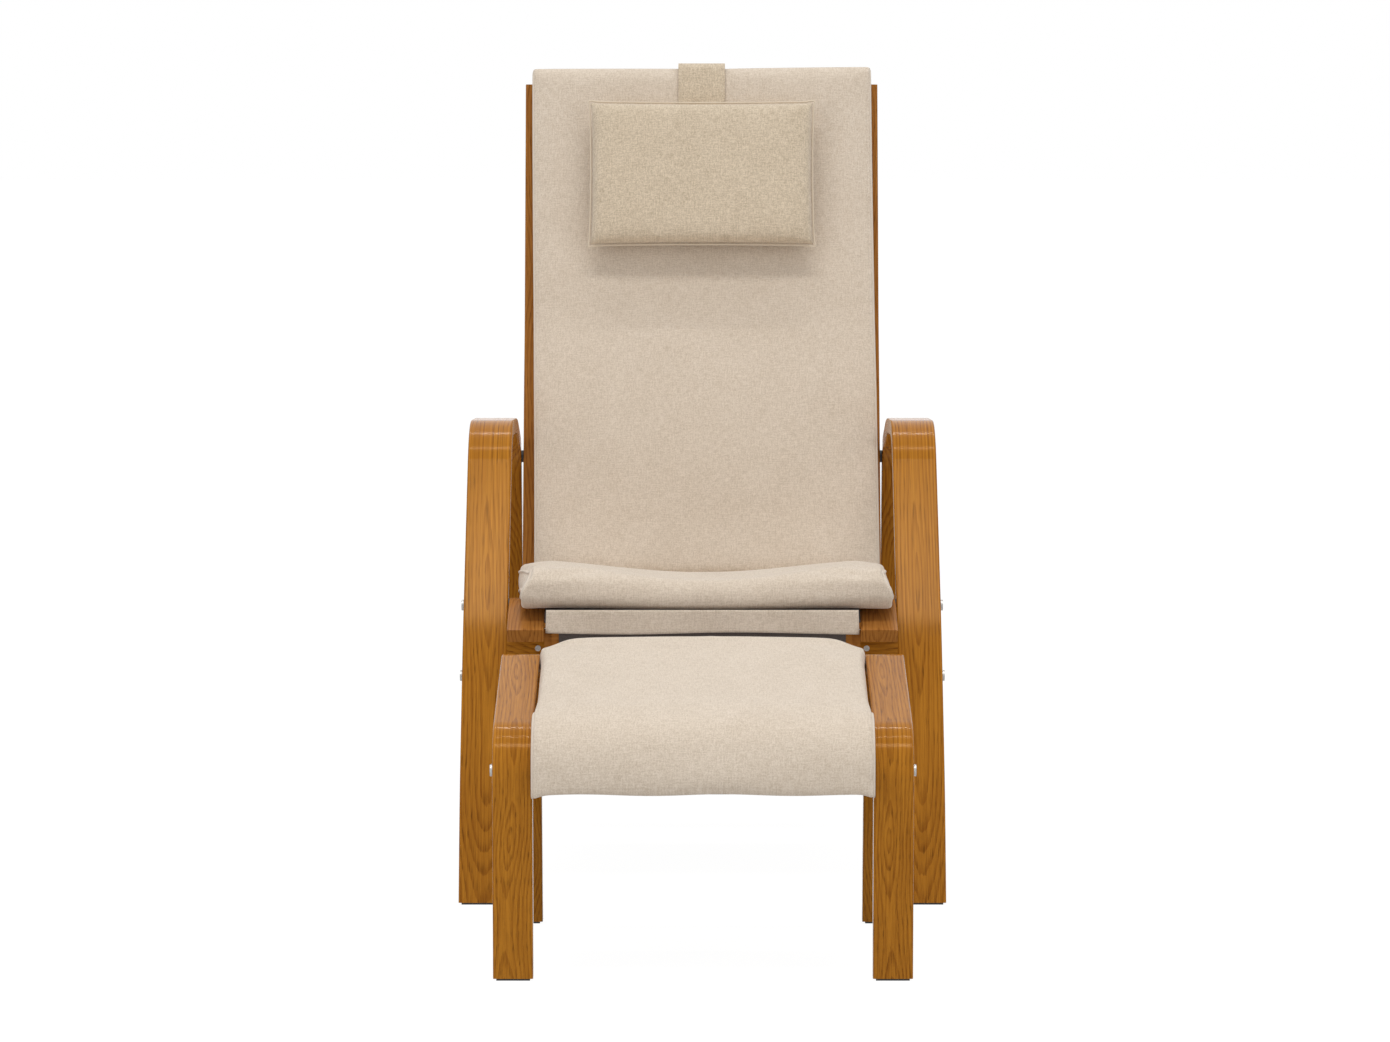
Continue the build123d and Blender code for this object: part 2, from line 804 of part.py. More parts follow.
def strap_back():
    _, _, rear_top, end = strap_route()
    return strap_piece([shift(rear_top, upper_back, -strap_top_bend), end], [])


def strap_weight():
    """Sewn counterweight at the end of the strap behind the back."""
    _, _, _, end = strap_route()
    half = weight_width / 2
    low = shift(end, upper_back, -weight_height)
    sections = []
    for station, fullness in zip(pillow_station_shares, pillow_loft_shares):
        depth = weight_thickness * (weight_edge_share + (1 - weight_edge_share) * fullness) / 2
        with BuildSketch(PROFILE.offset(station * half)) as outline:
            with BuildLine():
                front_mid = shift(between(low, end, 0.5), upper_back_normal, depth)
                rear_mid = shift(between(low, end, 0.5), upper_back_normal, -depth)
                edge = depth * weight_seam_share
                tips = [shift(end, upper_back_normal, edge), shift(end, upper_back_normal, -edge)]
                toes = [shift(low, upper_back_normal, -edge), shift(low, upper_back_normal, edge)]
                ThreePointArc(toes[1], front_mid, tips[0])
                Line(tips[0], tips[1])
                ThreePointArc(tips[1], rear_mid, toes[0])
                Line(toes[0], toes[1])
            make_face()
        sections.append(outline.sketch.faces()[0])
    return loft_across(sections)


# Footstool

stool_points = scaled(stool_shares, stool_depth, stool_height, -stool_gap)
stool_bends = (stool_front_bend, stool_rear_bend)
stool_outer_x = stool_width / 2
stool_inner_x = stool_outer_x - stool_board_width
stool_middle_x = (stool_outer_x + stool_inner_x) / 2
stool_face = stool_board_thickness / 2


def stool_pad_route(rise, reach):
    """A line over the stool from the front hem to the rear rail, with its rise and reach off the frames."""
    outer, bends = offset_route(stool_points, stool_bends, stool_face)
    slope = left_normals(outer)[1]
    along = (slope[1], -slope[0])
    over = shift(outer[1], slope, rise)
    front = shift(over, along, -reach / along[0])
    low = (front[0], stool_hem_height)
    length = hypot(outer[2][0] - outer[1][0], outer[2][1] - outer[1][1])
    rear = shift(over, along, length - stool_cushion_rear_inset)
    return [low, front, rear], [bends[0]]


def stool_canvas_line(offset):
    """The stool canvas's route, a given distance under the pad's lower face."""
    points, bends = stool_pad_route(stool_seat_rise, stool_seat_front)
    return offset_route(points, bends, -stool_cushion_thickness - soft_clearance - offset)


def stool_front_bolt_point():
    return between(stool_points[0], stool_points[1], stool_front_bolt_share)


def stool_rear_rail_frame():
    """Top middle of the rear rail under the canvas, with its directions along and down."""
    points, _ = stool_canvas_line(canvas_thickness)
    slope = left_normals(points)[1]
    along = (slope[1], -slope[0])
    down = (-slope[0], -slope[1])
    corner, foot = stool_points[2], stool_points[3]
    length = hypot(foot[0] - corner[0], foot[1] - corner[1])
    leg = ((foot[0] - corner[0]) / length, (foot[1] - corner[1]) / length)
    start = (points[1][0] - corner[0], points[1][1] - corner[1])
    gap = start[0] * down[0] + start[1] * down[1] + stool_rear_rail_height / 2
    bolt = shift(corner, leg, gap / (leg[0] * down[0] + leg[1] * down[1]))
    return bolt, along, down


def stool_bolt_points():
    return [stool_front_bolt_point(), stool_rear_rail_frame()[0]]


def stool_frame():
    """Right stool frame: two legs and the top rail bent from one laminated board."""
    board = bent_board(stool_points, stool_bends, stool_middle_x, stool_board_width, stool_board_thickness)
    board -= below(glide_height, stool_points)
    for point in stool_bolt_points():
        board -= cross_rod(point, bolt_diameter, stool_inner_x - cut_overrun, stool_outer_x + cut_overrun)
    return board


def drilled_stool_rail(body, point, down):
    """A stool rail with a bolt hole and a barrel nut hole at each end."""
    tip = stool_outer_x - stool_bolt_length
    for side in (-1, 1):
        body -= cross_rod(point, bolt_diameter, side * tip, side * (stool_inner_x + cut_overrun))
        body -= stool_nut_body(point, down, side)
    return body


def stool_nut_body(point, down, side):
    """Cylinder of a stool barrel nut, sunk from the underside of its rail."""
    x = side * (stool_outer_x - stool_bolt_length + barrel_nut_diameter / 2 + bolt_head_height)
    y, z = shift(point, down, stool_nut_drop)
    place = Plane(origin=(x, y, z), x_dir=(1, 0, 0), z_dir=(0, down[0], down[1]))
    return place * Cylinder(barrel_nut_diameter / 2, stool_nut_length)


def stool_barrel_nut(point, down, side):
    nut = stool_nut_body(point, down, side)
    return nut - cross_rod(point, bolt_diameter, -stool_outer_x, stool_outer_x)


def stool_front_rail():
    """Front rail of the stool, behind the pad's front drop."""
    y, z = stool_front_bolt_point()
    points, _ = stool_canvas_line(canvas_thickness)
    front = points[0][0] + stool_front_rail_setback
    top = z + stool_front_rail_rise
    reach = stool_inner_x
    body = block(-reach, reach, front, front + stool_rail_thickness, top - stool_rail_height, top)
    return drilled_stool_rail(body, (y, z), (0, -1))


def stool_rear_rail():
    """Rear rail of the stool, square to the canvas that lies on it."""
    middle, along, down = stool_rear_rail_frame()
    half_height = stool_rear_rail_height / 2
    half_depth = stool_rail_thickness / 2
    top = shift(middle, down, -half_height)
    bottom = shift(middle, down, half_height)
    corners = [
        shift(top, along, -half_depth),
        shift(top, along, half_depth),
        shift(bottom, along, half_depth),
        shift(bottom, along, -half_depth),
    ]
    body = profile_bar(corners, -stool_inner_x, stool_inner_x)
    return drilled_stool_rail(body, middle, down)


def stool_cushion():
    """Stool pad with rounded side edges, bent over the front of the frames."""
    half = stool_inner_x - soft_clearance
    top_route, top_bends = stool_pad_route(stool_cushion_rise, stool_cushion_front)
    seat_route, seat_bends = stool_pad_route(stool_seat_rise, stool_seat_front)
    depth = stool_cushion_thickness + stool_cushion_rise - stool_seat_rise
    sections = []
    for station, fullness in zip(cushion_station_shares, cushion_loft_shares):
        trim_share = (1 - min(fullness, 1)) / 2
        seat_drop = stool_cushion_thickness * (1 - trim_share)
        upper, upper_bends = offset_route(top_route, top_bends, -depth * trim_share)
        lower, lower_bends = offset_route(seat_route, seat_bends, -seat_drop)
        sections.append(pad_outline(station * half, lower, lower_bends, upper, upper_bends))
    return loft_across(sections)


def stool_canvas():
    """Canvas under the stool pad, from the front rail's face over the bend to the rear rail."""
    points, bends = stool_canvas_line(canvas_thickness)
    reach = stool_inner_x - stool_canvas_side_gap
    return route_slab(points, bends, 0, canvas_thickness, -reach, reach)


# Assembly

def both_sides(maker):
    return [maker(-1), maker(1)]


def build_nodes():
    right_frame = arm_frame()
    right_rail = shell_rail()
    right_stool = stool_frame()
    slats = slat_places()
    bolt_points = (front_stretcher_point, rear_stretcher_point)
    frame_glides = [
        foot_glide(loop_points, leg, foot, loop_board_width, loop_board_thickness, side * loop_middle_x)
        for leg, foot in ((1, 0), (6, 7))
        for side in (-1, 1)
    ]
    stool_glides = [
        foot_glide(stool_points, leg, foot, stool_board_width, stool_board_thickness, side * stool_middle_x)
        for leg, foot in ((1, 0), (2, 3))
        for side in (-1, 1)
    ]
    nodes = {
        "left_arm_frame": mirrored(right_frame),
        "right_arm_frame": right_frame,
        "front_stretcher": front_stretcher(),
        "rear_stretcher": stretcher(rear_stretcher_point, rear_stretcher_height),
        "stretcher_screws": [stretcher_screw(side, 1) for side in (-1, 1)],
        "stretcher_bolts": [
            frame_bolt(point, loop_outer_x, stretcher_bolt_length, side)
            for point in bolt_points
            for side in (-1, 1)
        ],
        "stretcher_barrel_nuts": [
            barrel_nut(point, side * nut_x())
            for point in bolt_points
            for side in (-1, 1)
        ],
        "chair_foot_glides": frame_glides,
        "left_shell_rail": mirrored(right_rail),
        "right_shell_rail": right_rail,
        "front_cross_rail": front_cross_rail(),
        "cross_rail_screws": both_sides(cross_rail_screw),
        "seat_slat": slat(slats[0]),
        "lumbar_slat": slat(slats[1]),
        "top_slat": slat(slats[2]),
        "slat_screws": [
            placed_screw(point, out, side * slat_screw_x(), 1) for point, out in slats for side in (-1, 1)
        ],
        "pivot_bolts": both_sides(pivot_bolt),
        "pivot_spacers": [spacer(pivot_point, side) for side in (-1, 1)],
        "pivot_inserts": [insert(pivot_point, side) for side in (-1, 1)],
        "recline_studs": both_sides(recline_stud),
        "recline_spacers": [spacer(stud_point, side) for side in (-1, 1)],
        "recline_inserts": [insert(stud_point, side) for side in (-1, 1)],
        "left_recline_knob": recline_knob(-1),
        "right_recline_knob": recline_knob(1),
        "support_canvas": support_canvas(),
        "seat_cushion": seat_cushion(),
        "back_cushion": back_cushion(),
        "front_flap": front_flap(),
        "head_pillow": head_pillow(),
        "strap_front": strap_front(),
        "strap_over": strap_over(),
        "strap_back": strap_back(),
        "strap_weight": strap_weight(),
        "left_stool_frame": mirrored(right_stool),
        "right_stool_frame": right_stool,
        "stool_front_rail": stool_front_rail(),
        "stool_rear_rail": stool_rear_rail(),
        "stool_bolts": [
            frame_bolt(point, stool_outer_x, stool_bolt_length, side)
            for point in stool_bolt_points()
            for side in (-1, 1)
        ],
        "stool_barrel_nuts": [
            stool_barrel_nut(point, down, side)
            for point, down in zip(stool_bolt_points(), ((0, -1), stool_rear_rail_frame()[2]))
            for side in (-1, 1)
        ],
        "stool_foot_glides": stool_glides,
        "stool_canvas": stool_canvas(),
        "stool_cushion": stool_cushion(),
    }
    return nodes


def solids_of(piece):
    pieces = piece if isinstance(piece, list) else [piece]
    return [solid for item in pieces for solid in item.solids()]


def main():
    nodes = {name: solids_of(piece) for name, piece in build_nodes().items()}
    boxes = [solid.bounding_box() for solids in nodes.values() for solid in solids]
    middle_y = (min(box.min.Y for box in boxes) + max(box.max.Y for box in boxes)) / 2
    os.makedirs("parts", exist_ok=True)
    for name, solids in nodes.items():
        placed = [Pos(0, -middle_y, 0) * solid for solid in solids]
        shape = placed[0] if len(placed) == 1 else Compound(children=placed)
        shape.label = name
        export_step(shape, os.path.join("parts", name + ".step"))
    for name, point in (("pivot", pivot_point), ("recline stud", stud_point)):
        print(name, round(point[0] - middle_y, 3), round(point[1], 3))
    print("upper back direction", [round(value, 5) for value in upper_back])
    print("shift", round(middle_y, 3))


main()
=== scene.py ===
import json
import math

import bmesh
import bpy
import numpy as np
from bpy.props import FloatProperty, FloatVectorProperty, IntProperty, PointerProperty
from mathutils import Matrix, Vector


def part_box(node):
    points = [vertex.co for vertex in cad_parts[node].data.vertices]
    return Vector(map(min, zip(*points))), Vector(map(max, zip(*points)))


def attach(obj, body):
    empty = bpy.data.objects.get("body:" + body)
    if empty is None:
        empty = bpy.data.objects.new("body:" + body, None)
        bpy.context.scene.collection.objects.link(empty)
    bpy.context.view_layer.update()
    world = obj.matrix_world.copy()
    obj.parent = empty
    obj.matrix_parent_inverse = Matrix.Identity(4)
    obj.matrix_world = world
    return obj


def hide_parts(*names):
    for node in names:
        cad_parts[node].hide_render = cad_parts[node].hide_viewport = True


bl_info = {
    "name": "Bentwood Recliner Finish",
    "version": (1, 0, 0),
    "blender": (4, 5, 0),
    "location": "View3D > Sidebar > Recliner",
    "description": "Cushions, cloth, stitching and finishes for a bentwood recliner with a footstool",
    "category": "Object",
}

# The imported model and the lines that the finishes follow

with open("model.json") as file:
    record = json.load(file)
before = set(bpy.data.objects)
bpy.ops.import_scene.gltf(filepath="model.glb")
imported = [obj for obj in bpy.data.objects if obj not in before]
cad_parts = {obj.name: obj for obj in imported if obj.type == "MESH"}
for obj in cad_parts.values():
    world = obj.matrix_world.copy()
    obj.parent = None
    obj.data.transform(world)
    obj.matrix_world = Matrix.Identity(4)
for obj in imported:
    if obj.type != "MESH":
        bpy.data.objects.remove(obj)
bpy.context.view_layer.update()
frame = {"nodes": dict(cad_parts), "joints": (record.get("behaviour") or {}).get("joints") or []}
JOINTS = {joint["name"]: joint for joint in frame["joints"]}
PIVOT = Vector(JOINTS["shell_recline"]["pos_m"])
BACK_UP = -Vector(JOINTS["pillow_slide"]["axis"]).normalized()
BACK_OUT = Vector((0, -BACK_UP.z, BACK_UP.y))

ARM_NODES = ("left_arm_frame", "right_arm_frame")
STOOL_FRAME_NODES = ("left_stool_frame", "right_stool_frame")
OAK_BAR_NODES = ("front_stretcher", "rear_stretcher", "stool_front_rail", "stool_rear_rail")
SHELL_RAIL_NODES = ("left_shell_rail", "right_shell_rail")
SHELL_BAR_NODES = ("front_cross_rail", "seat_slat", "lumbar_slat", "top_slat")
STEEL_NODES = (
    "stretcher_bolts", "stretcher_screws", "pivot_bolts", "recline_studs", "slat_screws",
    "cross_rail_screws", "stool_bolts", "stretcher_barrel_nuts", "stool_barrel_nuts",
)
BRASS_NODES = ("pivot_inserts", "recline_inserts")
PLASTIC_NODES = (
    "chair_foot_glides", "stool_foot_glides", "pivot_spacers", "recline_spacers",
    "left_recline_knob", "right_recline_knob",
)
CANVAS_NODES = ("support_canvas", "stool_canvas")


# Values that a user would change

def length_value(name, description, default):
    return FloatProperty(name=name, description=description, unit="LENGTH", default=default)


def plain_value(name, description, default):
    return FloatProperty(name=name, description=description, default=default)


def colour_value(name, description, default):
    return FloatVectorProperty(name=name, description=description, subtype="COLOR", default=default)


class ReclinerColours(bpy.types.PropertyGroup):
    oak_light: colour_value("Oak light", "Pale wood between the growth rings", (0.485, 0.196, 0.020))
    oak_dark: colour_value("Oak dark", "Dark lines of the growth rings", (0.215, 0.066, 0.0055))
    shell_light: colour_value("Shell wood light", "Pale wood of the rails and slats", (0.440, 0.180, 0.038))
    shell_dark: colour_value("Shell wood dark", "Dark lines of the rails and slats", (0.220, 0.075, 0.014))
    linen: colour_value("Linen", "Cushion covers", (0.70, 0.605, 0.50))
    linen_thread: colour_value("Linen dark thread", "Darker threads in the linen", (0.50, 0.395, 0.285))
    pillow_cloth: colour_value(
        "Pillow cloth", "Cover of the head pillow and its strap", (0.68, 0.575, 0.44),
    )
    pillow_thread: colour_value(
        "Pillow dark thread", "Darker loops in the pillow cloth", (0.42, 0.325, 0.215),
    )
    canvas: colour_value("Canvas", "Canvas under the cushions", (0.045, 0.036, 0.032))
    floor: colour_value("Floor", "Floor and backdrop", (0.66, 0.66, 0.66))


class ReclinerPads(bpy.types.PropertyGroup):
    pressure: plain_value("Pressure", "Inner pressure of a pad", 4.0)
    frames: IntProperty(name="Frames", description="Steps that a pad is simulated for", default=20)
    piping: length_value("Piping radius", "Radius of the piping along a pad's seams", 0.0019)
    stitch_pitch: length_value("Stitch pitch", "Distance from one stitch to the next", 0.0045)
    stitch_radius: length_value("Stitch radius", "Radius of the sewing thread", 0.00035)


class ReclinerStudio(bpy.types.PropertyGroup):
    focal_pixels: plain_value("Focal length in pixels", "For a picture 1390 pixels wide", 4660.0)
    camera_height: length_value("Camera height", "Height of the camera over the floor", 1.18)
    camera_distance: length_value("Camera distance", "Distance of the camera in front of the origin", 6.396)
    camera_side: length_value("Camera side", "Camera offset across the object", -0.010)
    camera_pitch: FloatProperty(
        name="Camera pitch", description="How far the camera looks down", subtype="ANGLE",
        default=math.radians(6.04),
    )
    world_strength: plain_value("World strength", "Light from all round", 0.54)
    front_radiance: plain_value("Front light", "Radiance of the front softbox", 11.0)
    strip_radiance: plain_value("Strip light", "Radiance of the strip lamps", 46.0)
    strip_distance: length_value("Strip distance", "Distance of the strip lamps", 9.0)
    fill_power: plain_value("Fill light", "Power of each side lamp", 18.0)


IMAGE_WIDTH = 1390
SENSOR_WIDTH = 36.0
FLOOR_REACH = 30.0
FLOOR_GLOW = 1.12
FLOOR_GLOW_SHARE = 0.86
LAMP_AIM = (0.0, 0.0, 0.5)
STRIP_SHARE = 0.75
FILL_SPOT = (3.2, -3.2, 1.6)
FILL_SIZE = (1.2, 2.4)


# Small helpers

def span(node, direction):
    """Lowest and highest place of a CAD node along a direction."""
    points = [vertex.co.dot(direction) for vertex in frame["nodes"][node].data.vertices]
    return min(points), max(points)


def linked(name, data):
    """A new object in the scene."""
    piece = bpy.data.objects.new(name, data)
    bpy.context.scene.collection.objects.link(piece)
    return piece


def new_object(name, mesh, material=None):
    piece = linked(name, mesh)
    if material is not None:
        mesh.materials.clear()
        mesh.materials.append(material)
    mesh.polygons.foreach_set("use_smooth", [True] * len(mesh.polygons))
    return piece


def settle(piece, name=None):
    """The piece with its modifiers applied, as a new object in its place."""
    depsgraph = bpy.context.evaluated_depsgraph_get()
    mesh = bpy.data.meshes.new_from_object(piece.evaluated_get(depsgraph))
    label = name or piece.name
    old = piece.data
    bpy.data.objects.remove(piece)
    if old.users == 0:
        bpy.data.meshes.remove(old)
    mesh.name = label
    return new_object(label, mesh)


def node_copy(node, name):
    """A welded copy of a CAD node's mesh."""
    mesh = frame["nodes"][node].data.copy()
    work = bmesh.new()
    work.from_mesh(mesh)
    bmesh.ops.remove_doubles(work, verts=work.verts, dist=1e-5)
    work.to_mesh(mesh)
    work.free()
    mesh.materials.clear()
    return linked(name, mesh)


def vertex_values(mesh, name):
    values = np.zeros(len(mesh.vertices) * 3)
    mesh.vertices.foreach_get(name, values)
    return values.reshape(-1, 3)


def coordinates(mesh):
    return vertex_values(mesh, "co")


def normals(mesh):
    return vertex_values(mesh, "normal")


def place(mesh, places):
    mesh.vertices.foreach_set("co", places.reshape(-1))
    mesh.update()


def smooth_step(values, low, high):
    share = np.clip((values - low) / (high - low), 0, 1)
    return share * share * (3 - 2 * share)


def finish_piece(piece, body, slot, *nodes):
    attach(piece, body)
    if nodes:
        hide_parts(*nodes)


# Node trees

class Tree:
    """Short calls for building a node tree."""

    def __init__(self, tree):
        self.tree = tree

    def node(self, kind, inputs=None, **settings):
        made = self.tree.nodes.new(kind)
        for name, value in settings.items():
            setattr(made, name, value)
        for socket, value in (inputs or {}).items():
            self.feed(made, socket, value)
        return made

    def feed(self, node, socket, value):
        if isinstance(value, bpy.types.NodeSocket):
            self.tree.links.new(value, node.inputs[socket])
        else:
            node.inputs[socket].default_value = value

    def math(self, operation, *values):
        return self.node("ShaderNodeMath", dict(enumerate(values)), operation=operation).outputs[0]

    def scaled(self, value, factor):
        return self.math("MULTIPLY", value, factor)

    def combine(self, x, y, z):
        return self.node("ShaderNodeCombineXYZ", {0: x, 1: y, 2: z}).outputs[0]

    def noise(self, vector, detail, roughness=0.5):
        values = {"Vector": vector, "Scale": 1.0, "Detail": detail, "Roughness": roughness}
        return self.node("ShaderNodeTexNoise", values).outputs[0]

    def streaks(self, lines, repeats, seed, detail, roughness=0.5):
        """Noise over two directions, each with its own number of repeats in a metre."""
        across, along = (self.scaled(line, count) for line, count in zip(lines, repeats))
        return self.noise(self.combine(across, along, seed), detail, roughness)

    def specks(self, repeats, detail, roughness=0.5):
        """Noise that repeats equally often along all three axes of the object."""
        source = self.node("ShaderNodeTexCoord")
        place_scaled = self.node(
            "ShaderNodeVectorMath", {0: source.outputs["Object"], 3: repeats}, operation="SCALE",
        ).outputs[0]
        return self.noise(place_scaled, detail, roughness)

    def axes(self, output="Object"):
        """The three parts of the place or the normal on the object."""
        source = self.node("ShaderNodeTexCoord")
        return self.node("ShaderNodeSeparateXYZ", {0: source.outputs[output]}).outputs

    def spread(self, value, low, high, start=0.0, end=1.0):
        made = self.node(
            "ShaderNodeMapRange", {"Value": value, 1: low, 2: high, 3: start, 4: end},
            interpolation_type="SMOOTHSTEP",
        )
        return made.outputs[0]

    def mix(self, share, first, second):
        """A colour between two others."""
        return self.node("ShaderNodeMix", {0: share, 6: first, 7: second}, data_type="RGBA").outputs[2]

    def blend(self, share, first, second):
        """A number between two others."""
        return self.node("ShaderNodeMix", {0: share, 2: first, 3: second}, data_type="FLOAT").outputs[0]

    def bump(self, height, distance, strength):
        values = {"Strength": strength, "Distance": distance, "Height": height}
        return self.node("ShaderNodeBump", values).outputs[0]


def new_material(name):
    material = bpy.data.materials.new(name)
    material.use_nodes = True
    material.node_tree.nodes.clear()
    tree = Tree(material.node_tree)
    shader = tree.node("ShaderNodeBsdfPrincipled")
    output = tree.node("ShaderNodeOutputMaterial")
    material.node_tree.links.new(shader.outputs[0], output.inputs["Surface"])
    return material, tree, shader


def rgba(colour):
    return (colour[0], colour[1], colour[2], 1.0)


def made_once(maker):
    """A maker that gives back the material of that name where there is one already."""
    def material_named(name, *looks):
        return bpy.data.materials.get(name) or maker(name, *looks)
    return material_named


def tinted(colour, factor, lift=0.0):
    """A colour made lighter or darker by a factor, and no lighter than white."""
    return [min(1.0, part * factor + lift) for part in colour]


# Wood

def line_through(point, angle):
    """A board's middle line: a point on it and its unit normal, up for a line that runs back."""
    return point, (-math.sin(angle), math.cos(angle))


def polygon_lines(points):
    lines = []
    for start, end in zip(points, points[1:]):
        lines.append(line_through(start, math.atan2(end[1] - start[1], end[0] - start[0])))
    return lines


def node_profile(node, shares):
    """Corners of a bent board's middle line, as shares of its depth and height in the frame."""
    low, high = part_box(node)
    depth = high[1] - low[1]
    return [(low[1] + y * depth, z * high[2]) for y, z in shares]


ARM_SHARES = ((0.0, 0.0), (0.07, 0.234), (0.2016, 0.544), (0.4586, 0.985), (0.709, 0.966), (0.888, 0.895),
              (0.927, 0.674), (0.99, 0.0))
STOOL_SHARES = ((0.028, 0.0), (0.028, 0.785), (0.847, 0.960), (0.977, 0.0))

# Slopes of the shell rails, and where their runs meet
NOSE_ANGLE = math.radians(20)
SEAT_ANGLE = math.radians(-11.5)
LOWER_ANGLE = math.radians(72)
LOWER_LEAN = math.radians(18)
LUMBAR_ANGLE = math.radians(68)
UPPER_ANGLE = math.radians(76.5)
CREST_REACH = 0.045
LUMBAR_RISE = 0.085
TOP_INSET = (0.009, 0.002)

# Streaks of the oak, as repeats in a metre across and along the board
DRIFT = (3.0, 2.6)
WARP = (22.0, 7.0)
RIPPLE = (260.0, 26.0)
FIBRE = (420.0, 11.0)
PORE = (900.0, 60.0)
CLOUD = (9.0, 2.4)
LAYERS = (640.0, 2.0)

RINGS_PER_METRE = 230.0
BEND_ROUNDING = 0.02
LATE_WOOD = 0.36
PORE_DARKNESS = 0.50
LACQUER_TINT = (1.0, 0.66, 0.36)

# Roughness of the lacquer, and which way the shell rails turn from run to run
ARM_ROUGHNESS = 0.11
RAIL_ROUGHNESS = 0.2
SLAT_ROUGHNESS = 0.22
RAIL_TURNS = ("out", "in", "out", "in")


def shell_lines():
    """Middle lines of the shell rails: nose, seat, lower back, lumbar and upper back."""
    stud = Vector([(low + high) / 2 for low, high in zip(*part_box("recline_spacers"))])
    crest = (PIVOT.y - CREST_REACH * math.cos(SEAT_ANGLE), PIVOT.z - CREST_REACH * math.sin(SEAT_ANGLE))
    lumbar = (stud.y + LUMBAR_RISE * math.tan(LOWER_LEAN), stud.z + LUMBAR_RISE)
    _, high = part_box("right_shell_rail")
    top = (high[1] - TOP_INSET[0], high[2] - TOP_INSET[1])
    return [
        line_through(crest, NOSE_ANGLE),
        line_through((PIVOT.y, PIVOT.z), SEAT_ANGLE),
        line_through((stud.y, stud.z), LOWER_ANGLE),
        line_through(lumbar, LUMBAR_ANGLE),
        line_through(top, UPPER_ANGLE),
    ]


def layer_depth(tree, y, z, lines, turns, rounding):
    """Distance from a bent board's middle line, joined smoothly from line to line."""
    result = None
    for (point, normal), turn in zip(lines, ("",) + tuple(turns)):
        along_y = tree.scaled(tree.math("SUBTRACT", y, point[0]), normal[0])
        distance = tree.math("MULTIPLY_ADD", tree.math("SUBTRACT", z, point[1]), normal[1], along_y)
        if result is None:
            result = distance
        else:
            result = tree.math("SMOOTH_MAX" if turn == "out" else "SMOOTH_MIN", result, distance, rounding)
    return result


def board_middle(node):
    """Place across the chair where a board's middle lies."""
    low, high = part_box(node)
    return (low[0] + high[0]) / 2


def wood_material(name, light, dark, lines, turns, node, roughness, seed):
    """Lacquered oak whose grain follows the bend of the board."""
    material, tree, shader = new_material(name)
    x, y, z = tree.axes()
    if lines:
        depth = layer_depth(tree, y, z, lines, turns, BEND_ROUNDING)
        along = tree.math("SUBTRACT", tree.scaled(y, 0.75), z)
        across = x
        side = tree.math("SUBTRACT", tree.math("ABSOLUTE", across), board_middle(node))
        edge = tree.spread(tree.math("ABSOLUTE", tree.axes("Normal")[0]), 0.55, 0.80)
    else:
        depth = tree.math("ADD", y, z)
        along = x
        across = tree.math("ADD", y, tree.scaled(z, 0.63))
        side = tree.math("SUBTRACT", tree.math("PINGPONG", tree.math("ADD", across, 5.0), 0.11), 0.05)
        edge = 0.0
    board = (across, along)
    drift = tree.streaks(board, DRIFT, seed, 1.0, 0.4)
    warp = tree.streaks(board, WARP, seed + 29.0, 2.0)
    lift = tree.noise(tree.combine(seed + 41.0, tree.scaled(along, 3.4), seed), 0.0)
    side = tree.math("MULTIPLY_ADD", tree.math("SUBTRACT", drift, 0.5), 0.05, side)
    offset = tree.math("MULTIPLY_ADD", tree.math("SUBTRACT", warp, 0.5), 0.010, side)
    height = tree.scaled(tree.math("SUBTRACT", lift, 0.42), 0.16)
    radius = tree.math("SQRT", tree.math("MULTIPLY_ADD", height, height, tree.scaled(offset, offset)))
    ripple = tree.streaks(board, RIPPLE, seed + 3.0, 2.0)
    rings = tree.math("MULTIPLY_ADD", ripple, 0.40, tree.scaled(radius, RINGS_PER_METRE))
    ring = tree.math("FRACT", rings)
    late = tree.scaled(tree.spread(ring, 0.35, 0.90), tree.spread(ring, 1.0, 0.93))
    fibre = tree.streaks(board, FIBRE, seed + 7.0, 4.0, 0.65)
    pore = tree.streaks(board, PORE, seed + 11.0, 1.0)
    pores = tree.scaled(tree.spread(pore, 0.55, 0.66), tree.spread(ring, 0.25, 0.85, 0.25, 1.0))
    cloud = tree.streaks(board, CLOUD, seed + 17.0, 2.0)
    grain = tree.spread(fibre, 0.28, 0.72)
    face_dark = tree.math("MULTIPLY_ADD", grain, 0.52, tree.scaled(late, LATE_WOOD))
    layers = tree.streaks((depth, along), LAYERS, x, 1.0)
    edge_dark = tree.math("MULTIPLY_ADD", grain, 0.30, tree.spread(layers, 0.36, 0.62, 0.0, 0.62))
    darkness = tree.blend(edge, face_dark, edge_dark)
    darkness = tree.math("MULTIPLY_ADD", tree.math("SUBTRACT", cloud, 0.5), 0.45, darkness)
    darkness = tree.node("ShaderNodeClamp", {0: darkness}).outputs[0]
    colour = tree.mix(darkness, rgba(light), rgba(dark))
    colour = tree.mix(tree.scaled(pores, PORE_DARKNESS), colour, rgba(tinted(dark, 0.30)))
    tree.feed(shader, "Base Color", colour)
    tree.feed(shader, "Roughness", tree.math("MULTIPLY_ADD", grain, 0.07, roughness))
    tree.feed(shader, "Specular IOR Level", 0.14)
    tree.feed(shader, "Specular Tint", rgba(LACQUER_TINT))
    relief = tree.math("MULTIPLY_ADD", late, -0.5, tree.scaled(grain, 0.5))
    relief = tree.math("SUBTRACT", relief, pores)
    tree.feed(shader, "Normal", tree.bump(relief, 0.00005, 0.22))
    return material


# Cloth

# Repeats in a metre along a thread and across it, and of the weave itself
SLUB_LONG = 70.0
SLUB_SHORT = 520.0
WEAVE_WAVE = 5200.0


